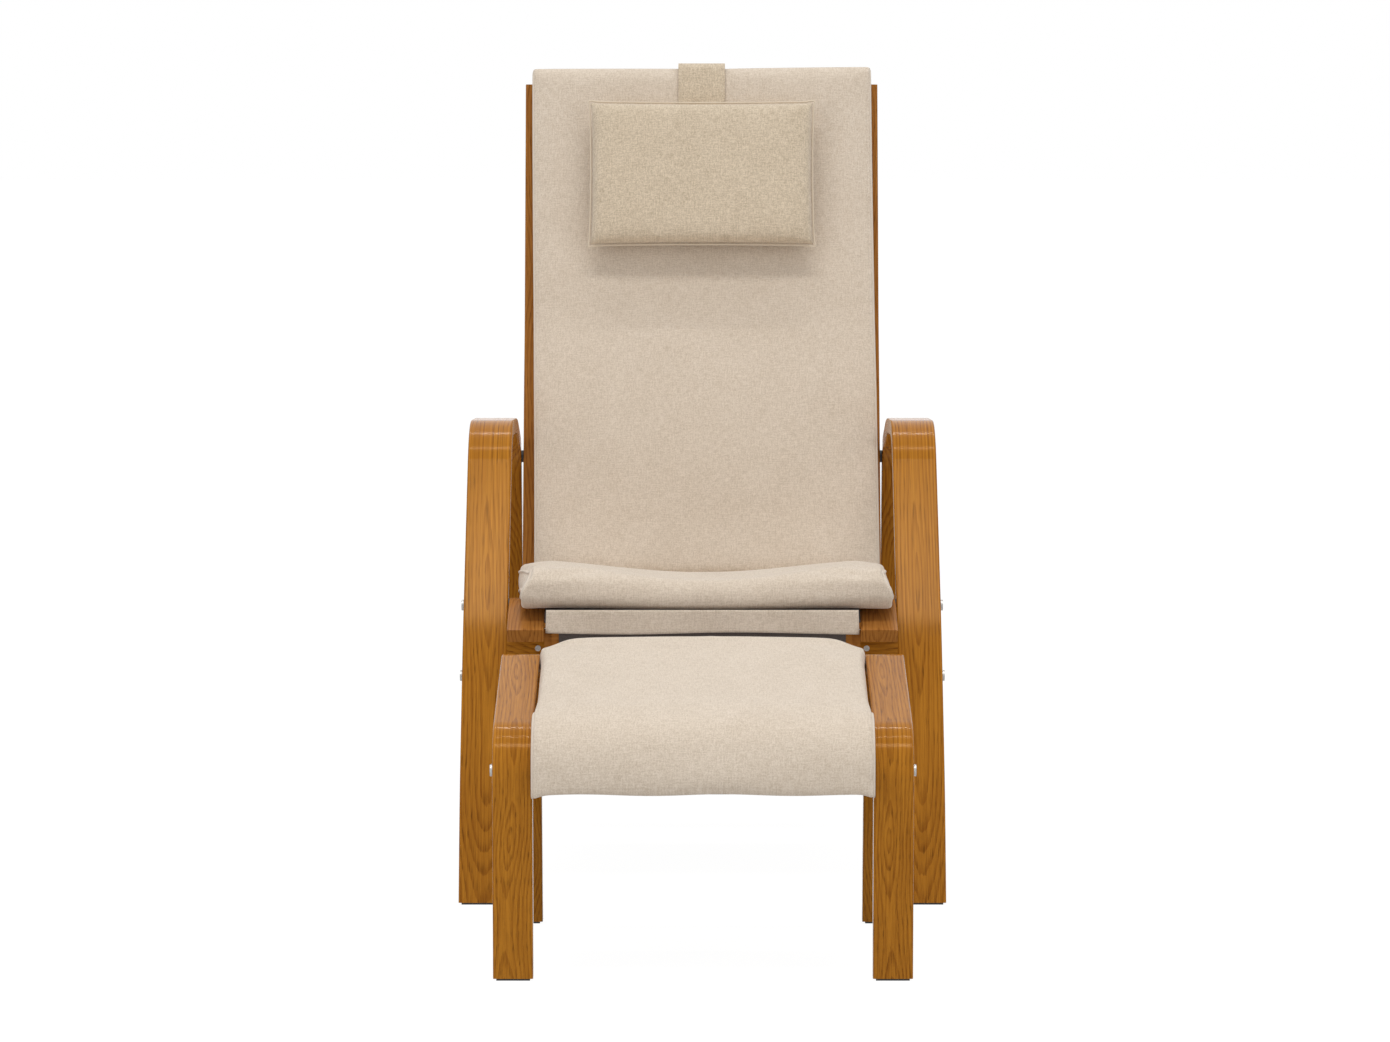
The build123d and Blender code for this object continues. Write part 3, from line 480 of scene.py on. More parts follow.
@made_once
def cloth_material(name, colour, thread, speck_size, speck_share, seed):
    """Mottled plain weave with slubs, loose fibres and a soft sheen."""
    material, tree, shader = new_material(name)
    x, y, z = tree.axes()
    run = tree.math("ADD", y, z)
    speck = tree.specks(1.0 / speck_size, 2.0, 0.6)
    weft = tree.streaks((x, run), (SLUB_LONG, SLUB_SHORT), seed, 2.0, 0.6)
    warp = tree.streaks((x, run), (SLUB_SHORT, SLUB_LONG), seed + 5.0, 2.0, 0.6)
    cloud = tree.specks(20.0, 3.0)
    threads = tree.math("ADD", weft, warp)
    marks = tree.math("ADD", tree.spread(speck, 0.40, 0.60), tree.spread(threads, 0.80, 1.22))
    share = tree.scaled(marks, speck_share)
    share = tree.math("MULTIPLY_ADD", tree.math("SUBTRACT", cloud, 0.5), 0.26, share)
    share = tree.node("ShaderNodeClamp", {0: share}).outputs[0]
    tree.feed(shader, "Base Color", tree.mix(share, rgba(tinted(colour, 1.14)), rgba(thread)))
    tree.feed(shader, "Roughness", 0.92)
    tree.feed(shader, "Specular IOR Level", 0.2)
    tree.feed(shader, "Sheen Weight", 0.35)
    tree.feed(shader, "Sheen Roughness", 0.45)
    weft_wave = tree.math("SINE", tree.scaled(run, WEAVE_WAVE))
    warp_wave = tree.math("SINE", tree.scaled(x, WEAVE_WAVE))
    weave = tree.scaled(weft_wave, warp_wave)
    height = tree.math("MULTIPLY_ADD", weave, 0.25, tree.math("ADD", speck, threads))
    tree.feed(shader, "Normal", tree.bump(height, 0.0006, 0.6))
    return material


def canvas_material(colours):
    """Coarse dark canvas with a twill line."""
    material, tree, shader = new_material("dark_canvas")
    x, y, z = tree.axes()
    run = tree.math("ADD", y, z)
    twill = tree.math("SINE", tree.scaled(tree.math("ADD", x, run), 3400.0))
    grain = tree.streaks((x, run), (900.0, 900.0), z, 2.0)
    share = tree.math("MULTIPLY_ADD", twill, 0.18, grain)
    light = tinted(colours.canvas, 2.6, 0.01)
    tree.feed(shader, "Base Color", tree.mix(share, rgba(colours.canvas), rgba(light)))
    tree.feed(shader, "Roughness", 0.9)
    tree.feed(shader, "Sheen Weight", 0.15)
    tree.feed(shader, "Normal", tree.bump(tree.math("ADD", twill, grain), 0.0004, 0.6))
    return material


# Metal and plastic

def metal_material(name, colour, roughness, repeats):
    material, tree, shader = new_material(name)
    grain = tree.specks(repeats, 3.0)
    wear = tree.spread(grain, 0.35, 0.7)
    tree.feed(shader, "Base Color", tree.mix(wear, rgba(colour), rgba(tinted(colour, 0.72))))
    tree.feed(shader, "Metallic", 1.0)
    tree.feed(shader, "Roughness", tree.math("MULTIPLY_ADD", wear, 0.18, roughness))
    tree.feed(shader, "Normal", tree.bump(grain, 0.0001, 0.3))
    return material


def plastic_material(name, colour):
    material, tree, shader = new_material(name)
    grain = tree.specks(1400.0, 2.0)
    tree.feed(shader, "Base Color", tree.mix(grain, rgba(colour), rgba(tinted(colour, 1.8, 0.004))))
    tree.feed(shader, "Roughness", tree.math("MULTIPLY_ADD", grain, 0.15, 0.42))
    tree.feed(shader, "Normal", tree.bump(grain, 0.00015, 0.5))
    return material


def linen():
    colours = bpy.context.scene.recliner_colours
    return cloth_material("linen_weave", colours.linen, colours.linen_thread, 0.0018, 0.30, 1.0)


def pillow_weave():
    colours = bpy.context.scene.recliner_colours
    return cloth_material("pillow_weave", colours.pillow_cloth, colours.pillow_thread, 0.0020, 0.34, 9.0)


@made_once
def thread_material(name, colour):
    material, tree, shader = new_material(name)
    ply = tree.specks(2500.0, 2.0)
    tree.feed(shader, "Base Color", tree.mix(ply, rgba(colour), rgba(tinted(colour, 0.75))))
    tree.feed(shader, "Roughness", 0.85)
    tree.feed(shader, "Sheen Weight", 0.3)
    tree.feed(shader, "Normal", tree.bump(ply, 0.0002, 0.6))
    return material


# Thread for the piping and stitches: the linen made lighter, a painted highlight along the seams.
def linen_thread():
    return thread_material("linen_piping", tinted(bpy.context.scene.recliner_colours.linen, 1.12))


# Thread for the piping and stitches: the pillow cloth made lighter, a painted highlight along the seams.
def pillow_thread():
    return thread_material("pillow_piping", tinted(bpy.context.scene.recliner_colours.pillow_cloth, 1.15))


# Sewn seams as Geometry Nodes

SEAM_SOCKETS = (
    ("Geometry", "INPUT", "Geometry"), ("Radius", "INPUT", "Float"), ("Spacing", "INPUT", "Float"),
    ("Finish", "INPUT", "Material"), ("Geometry", "OUTPUT", "Geometry"),
)
STITCH_SHARE = 0.62
PIPING_STEP = 0.006
RIM_STEP = 0.005
RIM_THICKNESS = 0.7


def seam_tree(name, stitched):
    """A tree that turns an edge path into piping, or into a row of stitches."""
    group = bpy.data.node_groups.new(name, "GeometryNodeTree")
    for label, way, kind in SEAM_SOCKETS:
        group.interface.new_socket(label, in_out=way, socket_type="NodeSocket" + kind)
    tree = Tree(group)
    start = tree.node("NodeGroupInput")
    end = tree.node("NodeGroupOutput")
    path = tree.node("GeometryNodeMeshToCurve", {0: start.outputs["Geometry"]})
    if stitched:
        points = tree.node(
            "GeometryNodeCurveToPoints", {"Curve": path.outputs[0], "Length": start.outputs["Spacing"]},
            mode="LENGTH",
        )
        thread = tree.node("GeometryNodeMeshCylinder", {"Vertices": 6, "Radius": start.outputs["Radius"]})
        tree.feed(thread, "Depth", tree.scaled(start.outputs["Spacing"], STITCH_SHARE))
        made = tree.node(
            "GeometryNodeInstanceOnPoints",
            {"Points": points.outputs["Points"], "Instance": thread.outputs["Mesh"],
             "Rotation": points.outputs["Rotation"]},
        ).outputs[0]
    else:
        even = tree.node(
            "GeometryNodeResampleCurve", {"Curve": path.outputs[0], "Length": start.outputs["Spacing"]},
            mode="LENGTH",
        )
        round_section = tree.node(
            "GeometryNodeCurvePrimitiveCircle", {"Resolution": 8, "Radius": start.outputs["Radius"]},
        )
        made = tree.node(
            "GeometryNodeCurveToMesh",
            {"Curve": even.outputs[0], "Profile Curve": round_section.outputs[0], "Fill Caps": True},
        ).outputs[0]
    real = tree.node("GeometryNodeRealizeInstances", {0: made}).outputs[0]
    finished = tree.node(
        "GeometryNodeSetMaterial", {"Geometry": real, "Material": start.outputs["Finish"]},
    ).outputs[0]
    group.links.new(finished, end.inputs[0])
    return group


def sew(name, paths, radius, spacing, material, stitched):
    """Piping or stitches along paths, each a list of points and whether it closes."""
    mesh = bpy.data.meshes.new(name + "_path")
    places, edges = [], []
    for points, closed in paths:
        first = len(places)
        places += [tuple(point) for point in points]
        edges += [(first + index, first + index + 1) for index in range(len(points) - 1)]
        if closed:
            edges.append((first + len(points) - 1, first))
    mesh.from_pydata(places, edges, [])
    piece = linked(name, mesh)
    kind = "sewn_stitches" if stitched else "sewn_piping"
    group = bpy.data.node_groups.get(kind) or seam_tree(kind, stitched)
    modifier = piece.modifiers.new("seam", "NODES")
    modifier.node_group = group
    sockets = {item.name: item.identifier for item in group.interface.items_tree if item.in_out == "INPUT"}
    modifier[sockets["Radius"]] = radius
    modifier[sockets["Spacing"]] = spacing
    modifier[sockets["Finish"]] = material
    return settle(piece)


def stitch_rows(name, rows, thread):
    """Stitches along rows, as long and as thick as the pads' values say."""
    pads = bpy.context.scene.recliner_pads
    return sew(name, rows, pads.stitch_radius, pads.stitch_pitch, thread, True)


def pipe_rim(name, rim, body):
    """Thin piping along the rim of a pad."""
    radius = bpy.context.scene.recliner_pads.piping * RIM_THICKNESS
    finish_piece(sew(name, [(rim, True)], radius, RIM_STEP, pillow_thread(), False), body, "pillow_cloth")


def slice_loop(piece, point, normal):
    """The longest closed line where a plane cuts a piece, as points in order."""
    work = bmesh.new()
    work.from_mesh(piece.data)
    cut = bmesh.ops.bisect_plane(
        work, geom=work.verts[:] + work.edges[:] + work.faces[:], plane_co=point, plane_no=normal,
    )["geom_cut"]
    edges = [part for part in cut if isinstance(part, bmesh.types.BMEdge)]
    links = {}
    for edge in edges:
        a, b = edge.verts
        links.setdefault(a, []).append(b)
        links.setdefault(b, []).append(a)
    best = []
    seen = set()
    for start in links:
        if start in seen:
            continue
        loop = [start]
        seen.add(start)
        current = start
        while True:
            onward = [vertex for vertex in links[current] if vertex not in seen]
            if not onward:
                break
            current = onward[0]
            seen.add(current)
            loop.append(current)
        if len(loop) > len(best):
            best = loop
    points = [vertex.co.copy() for vertex in best]
    work.free()
    return points


def even_line(points, count):
    """A line resampled to a count of equal runs."""
    lengths = [0.0]
    for start, end in zip(points, points[1:]):
        lengths.append(lengths[-1] + (end - start).length)
    result = []
    index = 0
    for step in range(count + 1):
        target = lengths[-1] * step / count
        while index < len(points) - 2 and lengths[index + 1] < target:
            index += 1
        run = max(lengths[index + 1] - lengths[index], 1e-9)
        result.append(points[index].lerp(points[index + 1], min(1.0, (target - lengths[index]) / run)))
    return result


def even_loop(points, count, passes):
    """A closed line resampled to a count of points and smoothed a few times."""
    result = even_line(points + [points[0]], count)[:-1]
    for _ in range(passes):
        result = [
            result[i - 1] * 0.25 + result[i] * 0.5 + result[(i + 1) % count] * 0.25 for i in range(count)
        ]
    return result


# Pads

CLOTH_SETTINGS = {
    "quality": 5, "mass": 0.3, "tension_stiffness": 20, "compression_stiffness": 20,
    "shear_stiffness": 8, "bending_stiffness": 1.0, "vertex_group_mass": "seams", "use_pressure": True,
}
PANEL_COLUMNS = 4
PANEL_BULGE = 0.0025
STATION_STEP = 0.007
SIDE_CUT = 0.84
LEAST_SWELL = 0.0003
SEAM_INSET_SHARE = 0.45
STITCH_INSET = 0.006
EVEN_SAG = (0.2, 0.9)
CROWN_POWER = 6
EAR_FROM = 0.9


def outline_halves(points, tips, face, count):
    """A closed outline split at its two tips into an upper and a lower line of even points."""
    start = max(range(len(points)), key=lambda index: points[index].dot(Vector(tips[0])))
    ring = points[start:] + points[:start]
    end = max(range(len(ring)), key=lambda index: ring[index].dot(Vector(tips[1])))
    first = ring[:end + 1]
    second = [ring[0]] + ring[:end - 1:-1]
    upper, lower = even_line(first, count), even_line(second, count)
    middle = count // 2
    if upper[middle].dot(Vector(face)) < lower[middle].dot(Vector(face)):
        upper, lower = lower, upper
    return upper, lower


def edge_round(distance, radius):
    """Inset of a rounded edge at a distance from its face."""
    if distance >= radius:
        return 0.0
    return radius - math.sqrt(max(radius * radius - (radius - distance) ** 2, 0.0))


def cushion_stations(half, radius, spacing):
    """Places across a cushion, closer together where its ends are rounded."""
    inner = half - radius
    count = max(2, round(2 * inner / spacing))
    middle = [-inner + 2 * inner * step / count for step in range(count + 1)]
    ends = [inner + radius * share for share in (0.4, 0.75, 1.0)]
    return [-x for x in reversed(ends)] + middle + ends


def boxed_cushion(node, name, tips, face, rows, radius, sag_from, sag_to):
    """A cushion's skin from its CAD outlines at the side and in the middle, with closed end panels."""
    source = node_copy(node, name + "_source")
    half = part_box(node)[1][0]
    side = outline_halves(slice_loop(source, (half * SIDE_CUT, 0, 0), (1, 0, 0)), tips, face, rows)
    middle = outline_halves(slice_loop(source, (0, 0, 0), (1, 0, 0)), tips, face, rows)
    bpy.data.objects.remove(source)
    stations = cushion_stations(half, radius, STATION_STEP)
    work = bmesh.new()
    grids = []
    for part in (0, 1):
        grid = []
        for x in stations:
            away = abs(x) / half
            sag = 1 - min(1.0, max(0.0, (away - sag_from) / (sag_to - sag_from)))
            sag = sag * sag * (3 - 2 * sag)
            inset = edge_round(half - abs(x), radius)
            line = []
            for row in range(rows + 1):
                own = side[part][row].lerp(middle[part][row], sag)
                other = side[1 - part][row].lerp(middle[1 - part][row], sag)
                if row in (0, rows):
                    near = 2 if row == 0 else rows - 2
                    other = (side[0][near] + side[1][near]) / 2
                reach = (other - own).length / 2 + 1e-9
                own = own.lerp((own + other) / 2, min(1.0, inset / reach))
                line.append(work.verts.new((x, own.y, own.z)))
            grid.append(line)
        grids.append(grid)
    for grid, flip in zip(grids, (False, True)):
        grid_faces(work, grid, flip)
    for station in (0, -1):
        close_end(work, grids[0][station], grids[1][station])
    bmesh.ops.remove_doubles(work, verts=work.verts, dist=1e-6)
    bmesh.ops.recalc_face_normals(work, faces=work.faces)
    return finished_mesh(work, name)


def grid_faces(work, lines, flip=False):
    """Faces between the lines of a grid of vertices."""
    for first, second in zip(lines, lines[1:]):
        for row in range(len(first) - 1):
            corners = [first[row], second[row], second[row + 1], first[row + 1]]
            work.faces.new(corners[::-1] if flip else corners)


def finished_mesh(work, name):
    """A new object from a mesh under work."""
    mesh = bpy.data.meshes.new(name)
    work.to_mesh(mesh)
    work.free()
    return new_object(name, mesh)


def close_end(work, upper, lower):
    """An end panel between the upper and lower lines of a cushion's last station."""
    outward = 1 if upper[0].co.x > 0 else -1
    lines = [upper]
    for column in range(1, PANEL_COLUMNS):
        share = column / PANEL_COLUMNS
        line = []
        for above, below in zip(upper, lower):
            place_between = above.co.lerp(below.co, share)
            swell = PANEL_BULGE * math.sin(math.pi * share) * min(1.0, (above.co - below.co).length / 0.02)
            line.append(work.verts.new(place_between + Vector((outward * swell, 0, 0))))
        lines.append(line)
    lines.append(lower)
    grid_faces(work, lines)


def swell(piece, name, material, cap, pinned, rest_side):
    """The piece puffed by cloth pressure between its pinned seams, then divided once."""
    pads = bpy.context.scene.recliner_pads
    rest = coordinates(piece.data)
    outward = normals(piece.data)
    held = (1 - smooth_step(outward @ np.array(rest_side), 0.2, 0.7)) * (1 - pinned)
    group = piece.vertex_groups.new(name="seams")
    for index in np.nonzero(pinned > 0.5)[0]:
        group.add([int(index)], 1.0, "REPLACE")
    move = simulate(piece, pads) - rest
    length = np.linalg.norm(move, axis=1)
    move *= np.minimum(1.0, (LEAST_SWELL + cap * held) / np.maximum(length, 1e-9))[:, None]
    place(piece.data, rest + move)
    piece.vertex_groups.clear()
    soften = piece.modifiers.new("soften", "SMOOTH")
    soften.factor = 0.5
    soften.iterations = 2
    levels = piece.modifiers.new("levels", "SUBSURF")
    levels.levels = 1
    levels.render_levels = 1
    piece = settle(piece, name)
    piece.data.materials.clear()
    piece.data.materials.append(material)
    return piece


def simulate(piece, pads):
    """Places of the piece's vertices after a few frames of cloth pressure."""
    scene = bpy.context.scene
    cloth = piece.modifiers.new("cloth", "CLOTH")
    for setting, value in CLOTH_SETTINGS.items():
        setattr(cloth.settings, setting, value)
    cloth.settings.uniform_pressure_force = pads.pressure
    cloth.settings.effector_weights.gravity = 0
    cloth.point_cache.frame_start = 1
    cloth.point_cache.frame_end = pads.frames
    for step in range(1, pads.frames + 1):
        scene.frame_set(step)
    depsgraph = bpy.context.evaluated_depsgraph_get()
    swollen = coordinates(piece.evaluated_get(depsgraph).data).copy()
    piece.modifiers.remove(cloth)
    scene.frame_set(1)
    return swollen


def end_pins(piece, radius):
    """Share of pinning for the vertices of a cushion's end seams and panels."""
    across = np.abs(coordinates(piece.data)[:, 0])
    return (across > across.max() - radius - 0.0005).astype(float)


def framed_pad(node, name, columns, rows, rim_height, steepness, pull, ear, sunk=0.0, stretch=0.0):
    """A pad of two crowned panels sewn along a rim, from the box of its CAD solid."""
    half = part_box(node)[1][0]
    low, high = span(node, BACK_UP)
    back, front = span(node, BACK_OUT)
    middle, reach = (low + high) / 2 - sunk, (high - low) / 2 + stretch
    rim = back + rim_height
    work = bmesh.new()
    boundary = {}
    sheets = []
    for outer in (front, back):
        sheet = []
        for row in range(rows + 1):
            v = -1 + 2 * row / rows
            line = []
            for column in range(columns + 1):
                u = -1 + 2 * column / columns
                full = ((1 - abs(u) ** CROWN_POWER) * (1 - abs(v) ** CROWN_POWER)) ** steepness
                tip = max(0.0, abs(u) - EAR_FROM) * max(0.0, abs(v) - EAR_FROM) / (1 - EAR_FROM) ** 2
                x = half * u * (1 - pull * (1 - v * v) * abs(u)) + math.copysign(ear * tip, u)
                up = middle + reach * v * (1 - pull * (1 - u * u) * abs(v)) + math.copysign(ear * tip, v)
                depth = rim + (outer - rim) * full
                spot = Vector((x, 0, 0)) + BACK_UP * up + BACK_OUT * depth
                on_rim = row in (0, rows) or column in (0, columns)
                if on_rim and (row, column) in boundary:
                    line.append(boundary[row, column])
                    continue
                vertex = work.verts.new(spot)
                if on_rim:
                    boundary[row, column] = vertex
                line.append(vertex)
            sheet.append(line)
        sheets.append(sheet)
    for sheet, flip in zip(sheets, (False, True)):
        for first, second in zip(sheet, sheet[1:]):
            for column in range(columns):
                corners = [first[column], first[column + 1], second[column + 1], second[column]]
                work.faces.new(corners[::-1] if flip else corners)
    ring = [(0, column) for column in range(columns)] + [(row, columns) for row in range(rows)]
    ring += [(rows, column) for column in range(columns, 0, -1)] + [(row, 0) for row in range(rows, 0, -1)]
    rim_line = [boundary[key].co.copy() for key in ring]
    for key, vertex in boundary.items():
        vertex.tag = True
    bmesh.ops.recalc_face_normals(work, faces=work.faces)
    work.verts.index_update()
    pinned = np.zeros(len(work.verts))
    for vertex in work.verts:
        if vertex.tag:
            pinned[vertex.index] = 1.0
    return finished_mesh(work, name), rim_line, pinned


# Flat cloth

CLOTH_STEP = 0.006
STRAP_CLEARANCE = 0.0002
STRAP_BEND_START = 0.002
STRAP_BEND = 0.011
STRAP_HEM = 0.004
STRAP_HOLD = (0.004, 0.006)
STRAP_REAR_START = 0.085


def thicken(piece, thickness):
    """Thickness added to a sheet, half on each side."""
    solid = piece.modifiers.new("thickness", "SOLIDIFY")
    solid.thickness = thickness
    solid.offset = 0


def ribbon(name, path, half_width, thickness, material, columns=8):
    """A strip of cloth across X that follows a path in the YZ plane."""
    places = []
    for point in path:
        for column in range(columns + 1):
            share = -1 + 2 * column / columns
            places.append((share * half_width, point[1], point[2]))
    faces = []
    width = columns + 1
    for row in range(len(path) - 1):
        for column in range(columns):
            first = row * width + column
            faces.append((first, first + 1, first + 1 + width, first + width))
    mesh = bpy.data.meshes.new(name)
    mesh.from_pydata(places, [], faces)
    piece = new_object(name, mesh, material)
    thicken(piece, thickness)
    edge = piece.modifiers.new("edge", "BEVEL")
    edge.width = thickness * 0.35
    edge.segments = 2
    edge.limit_method = "ANGLE"
    return settle(piece)


def rounded_path(corners, radius, steps=8):
    """A path through corners in the YZ plane, each inner corner rounded to an arc."""
    path = [Vector(corners[0])]
    for before, corner, after in zip(corners, corners[1:], corners[2:]):
        corner = Vector(corner)
        back = (Vector(before) - corner).normalized()
        ahead = (Vector(after) - corner).normalized()
        turn = back.angle(ahead)
        reach = radius / math.tan(turn / 2)
        start, end = corner + back * reach, corner + ahead * reach
        centre = corner + (back + ahead).normalized() * (radius / math.sin(turn / 2))
        first, last = (start - centre).normalized(), (end - centre).normalized()
        path += [centre + first.slerp(last, step / steps) * radius for step in range(steps + 1)]
    path.append(Vector(corners[-1]))
    return path


def divided(path, spacing):
    """A path with its long runs divided evenly."""
    result = [path[0]]
    for start, end in zip(path, path[1:]):
        count = max(1, round((end - start).length / spacing))
        result += [start.lerp(end, step / count) for step in range(1, count + 1)]
    return result


# Operators, one for each piece or group of like pieces

class RECLINER_OT_stage(bpy.types.Operator):
    """Floor, soft studio light and the camera at the photograph's angle"""
    bl_idname = "recliner.stage"
    bl_label = "Stage"

    def execute(self, context):
        studio = context.scene.recliner_studio
        self.make_floor(context)
        self.make_world(context, studio)
        self.make_lamps(studio)
        self.make_camera(context, studio)
        context.scene.view_settings.view_transform = "Standard"
        return {"FINISHED"}

    def make_floor(self, context):
        colour = rgba(context.scene.recliner_colours.floor)
        mesh = bpy.data.meshes.new("floor")
        signs = ((-1, -1), (1, -1), (1, 1), (-1, 1))
        mesh.from_pydata([(x * FLOOR_REACH, y * FLOOR_REACH, 0) for x, y in signs], [], [(0, 1, 2, 3)])
        material, tree, shader = new_material("studio_floor")
        tree.feed(shader, "Base Color", colour)
        tree.feed(shader, "Roughness", 0.9)
        tree.feed(shader, "Specular IOR Level", 0.0)
        rays = tree.node("ShaderNodeLightPath")
        seen = tree.math("MAXIMUM", rays.outputs["Is Camera Ray"], rays.outputs["Is Glossy Ray"])
        glow = tree.node("ShaderNodeEmission", {"Color": (1, 1, 1, 1), "Strength": FLOOR_GLOW})
        share = tree.scaled(seen, FLOOR_GLOW_SHARE)
        mixed = tree.node("ShaderNodeMixShader", {0: share, 1: shader.outputs[0], 2: glow.outputs[0]})
        output = next(node for node in material.node_tree.nodes if node.type == "OUTPUT_MATERIAL")
        material.node_tree.links.new(mixed.outputs[0], output.inputs["Surface"])
        floor = new_object("floor", mesh, material)

    def make_world(self, context, studio):
        world = bpy.data.worlds.new("studio")
        world.use_nodes = True
        world.node_tree.nodes.clear()
        tree = Tree(world.node_tree)
        rays = tree.node("ShaderNodeLightPath")
        direct = tree.math("MAXIMUM", rays.outputs["Is Camera Ray"], rays.outputs["Is Transmission Ray"])
        seen = tree.math("MAXIMUM", direct, rays.outputs["Is Glossy Ray"])
        strength = tree.blend(seen, studio.world_strength, 1.0)
        glow = tree.node("ShaderNodeBackground", {"Color": (1, 1, 1, 1), "Strength": strength})
        output = tree.node("ShaderNodeOutputWorld")
        world.node_tree.links.new(glow.outputs[0], output.inputs["Surface"])
        context.scene.world = world

    def make_lamps(self, studio):
        """Soft side light, and far strips whose reflections run across the bends of the wood."""
        centre = Vector(LAMP_AIM)
        strips = (
            ("front", 64.0, 7.0, studio.front_radiance),
            ("over", 87.0, 0.75, studio.strip_radiance),
            ("back", 118.0, 0.75, studio.strip_radiance),
        )
        for name, elevation, height, radiance in strips:
            angle = math.radians(elevation)
            spot = centre + Vector((0.0, -math.cos(angle), math.sin(angle))) * studio.strip_distance
            size = (studio.strip_distance * STRIP_SHARE, studio.strip_distance * math.radians(height))
            self.make_lamp(name, spot, centre, size, radiance * math.pi * size[0] * size[1])
        for name, side in (("left", -1), ("right", 1)):
            spot = Vector((side * FILL_SPOT[0], FILL_SPOT[1], FILL_SPOT[2]))
            self.make_lamp(name, spot, centre, FILL_SIZE, studio.fill_power)

    def make_lamp(self, name, spot, aim, size, power):
        light = bpy.data.lights.new("lamp_" + name, "AREA")
        light.shape = "RECTANGLE"
        light.size, light.size_y = size
        light.energy = power
        lamp = linked("lamp_" + name, light)
        lamp.location = spot
        lamp.rotation_euler = (aim - spot).to_track_quat("-Z", "Y").to_euler()

    def make_camera(self, context, studio):
        data = bpy.data.cameras.new("camera")
        data.sensor_fit = "HORIZONTAL"
        data.sensor_width = SENSOR_WIDTH
        data.lens = studio.focal_pixels / IMAGE_WIDTH * SENSOR_WIDTH
        data.clip_end = 100.0
        camera = linked("camera", data)
        camera.location = (studio.camera_side, -studio.camera_distance, studio.camera_height)
        camera.rotation_euler = (math.pi / 2 - studio.camera_pitch, 0.0, 0.0)
        context.scene.camera = camera


def paint(nodes, material):
    for node in nodes:
        mesh = frame["nodes"][node].data
        mesh.materials.clear()
        mesh.materials.append(material)


class RECLINER_OT_frames(bpy.types.Operator):
    """Oak finish with grain that follows the bent boards of the chair and the footstool"""
    bl_idname = "recliner.frames"
    bl_label = "Oak frames"

    def execute(self, context):
        colours = context.scene.recliner_colours
        arm_lines = polygon_lines(node_profile("right_arm_frame", ARM_SHARES))
        stool_lines = polygon_lines(node_profile("right_stool_frame", STOOL_SHARES))
        light, dark = colours.oak_light, colours.oak_dark
        arms = wood_material(
            "oak_arms", light, dark, arm_lines, ("in",) * 6, "right_arm_frame", ARM_ROUGHNESS, 2.0,
        )
        stool = wood_material(
            "oak_stool", light, dark, stool_lines, ("in",) * 2, "right_stool_frame", ARM_ROUGHNESS, 31.0,
        )
        bars = wood_material("oak_bars", light, dark, [], (), None, RAIL_ROUGHNESS, 47.0)
        paint(ARM_NODES, arms)
        paint(STOOL_FRAME_NODES, stool)
        paint(OAK_BAR_NODES, bars)
        return {"FINISHED"}


class RECLINER_OT_shell_wood(bpy.types.Operator):
    """Darker oak finish of the shell's rails, cross rail and slats"""
    bl_idname = "recliner.shell_wood"
    bl_label = "Shell wood"

    def execute(self, context):
        colours = context.scene.recliner_colours
        light, dark = colours.shell_light, colours.shell_dark
        rails = wood_material(
            "oak_rails", light, dark, shell_lines(), RAIL_TURNS, "right_shell_rail", RAIL_ROUGHNESS, 61.0,
        )
        bars = wood_material("oak_slats", light, dark, [], (), None, SLAT_ROUGHNESS, 83.0)
        paint(SHELL_RAIL_NODES, rails)
        paint(SHELL_BAR_NODES, bars)
        return {"FINISHED"}


class RECLINER_OT_hardware(bpy.types.Operator):
    """Zinc, brass and plastic finishes of the bolts, screws, inserts, knobs and glides"""
    bl_idname = "recliner.hardware"
    bl_label = "Hardware"

    def execute(self, context):
        paint(STEEL_NODES, metal_material("zinc", (0.50, 0.49, 0.47), 0.34, 900.0))
        paint(BRASS_NODES, metal_material("brass", (0.72, 0.55, 0.26), 0.32, 900.0))
        paint(PLASTIC_NODES, plastic_material("black_plastic", (0.018, 0.018, 0.018)))
        return {"FINISHED"}


class RECLINER_OT_canvas(bpy.types.Operator):
    """Dark canvas under the cushions and its sleeve on the front cross rail"""
    bl_idname = "recliner.canvas"
    bl_label = "Canvas"

    sleeve_half_width: length_value("Sleeve half width", "Reach to each side of the middle", 0.195)
    sleeve_drop: length_value("Sleeve drop", "How far the sleeve ends below the rail's top", 0.004)
    sleeve_thickness: length_value("Sleeve thickness", "Thickness of the canvas sleeve", 0.0012)

    def execute(self, context):
        canvas = canvas_material(context.scene.recliner_colours)
        paint(CANVAS_NODES, canvas)
        along = Vector((0, math.cos(NOSE_ANGLE), math.sin(NOSE_ANGLE)))
        up = Vector((0, -math.sin(NOSE_ANGLE), math.cos(NOSE_ANGLE)))
        gap = self.sleeve_thickness / 2
        front, rear = span("front_cross_rail", along)
        bottom, top = span("front_cross_rail", up)
        front, rear, bottom, top = front - gap, rear + gap, bottom - gap, top - self.sleeve_drop
        corners = [
            along * front + up * top, along * front + up * bottom,
            along * rear + up * bottom, along * rear + up * top,
        ]
        path = divided(rounded_path(corners, 0.002, 4), 0.004)
        sleeve = ribbon(
            "cross_rail_sleeve", path, self.sleeve_half_width, self.sleeve_thickness, canvas, 40,
        )
        finish_piece(sleeve, "seat_shell", "black_canvas")
        return {"FINISHED"}


# Where the cushions' shapes come in, as distances from the sides of their boxes
ROLL_DEPTH = (0.06, 0.16)
ROLL_TOP = (0.048, 0.004)
ROLL_END = 0.11
SAG_TOP = (0.07, 0.02)
CREASE_END = (0.085, 0.008)
CREASE_DEPTH = (-0.10, 0.02)
CREASE_HEIGHT = 0.0013
BACK_TOP = (0.12, 0.01)
BACK_TILT = 0.0015
BACK_FOOT = (0.01, 0.09)
STOOL_HEM = 0.09
STOOL_REAR = (0.075, 0.012)
STOOL_SLOPE = (0.05, 0.14)
STOOL_SHOULDER = (0.09, 0.16)


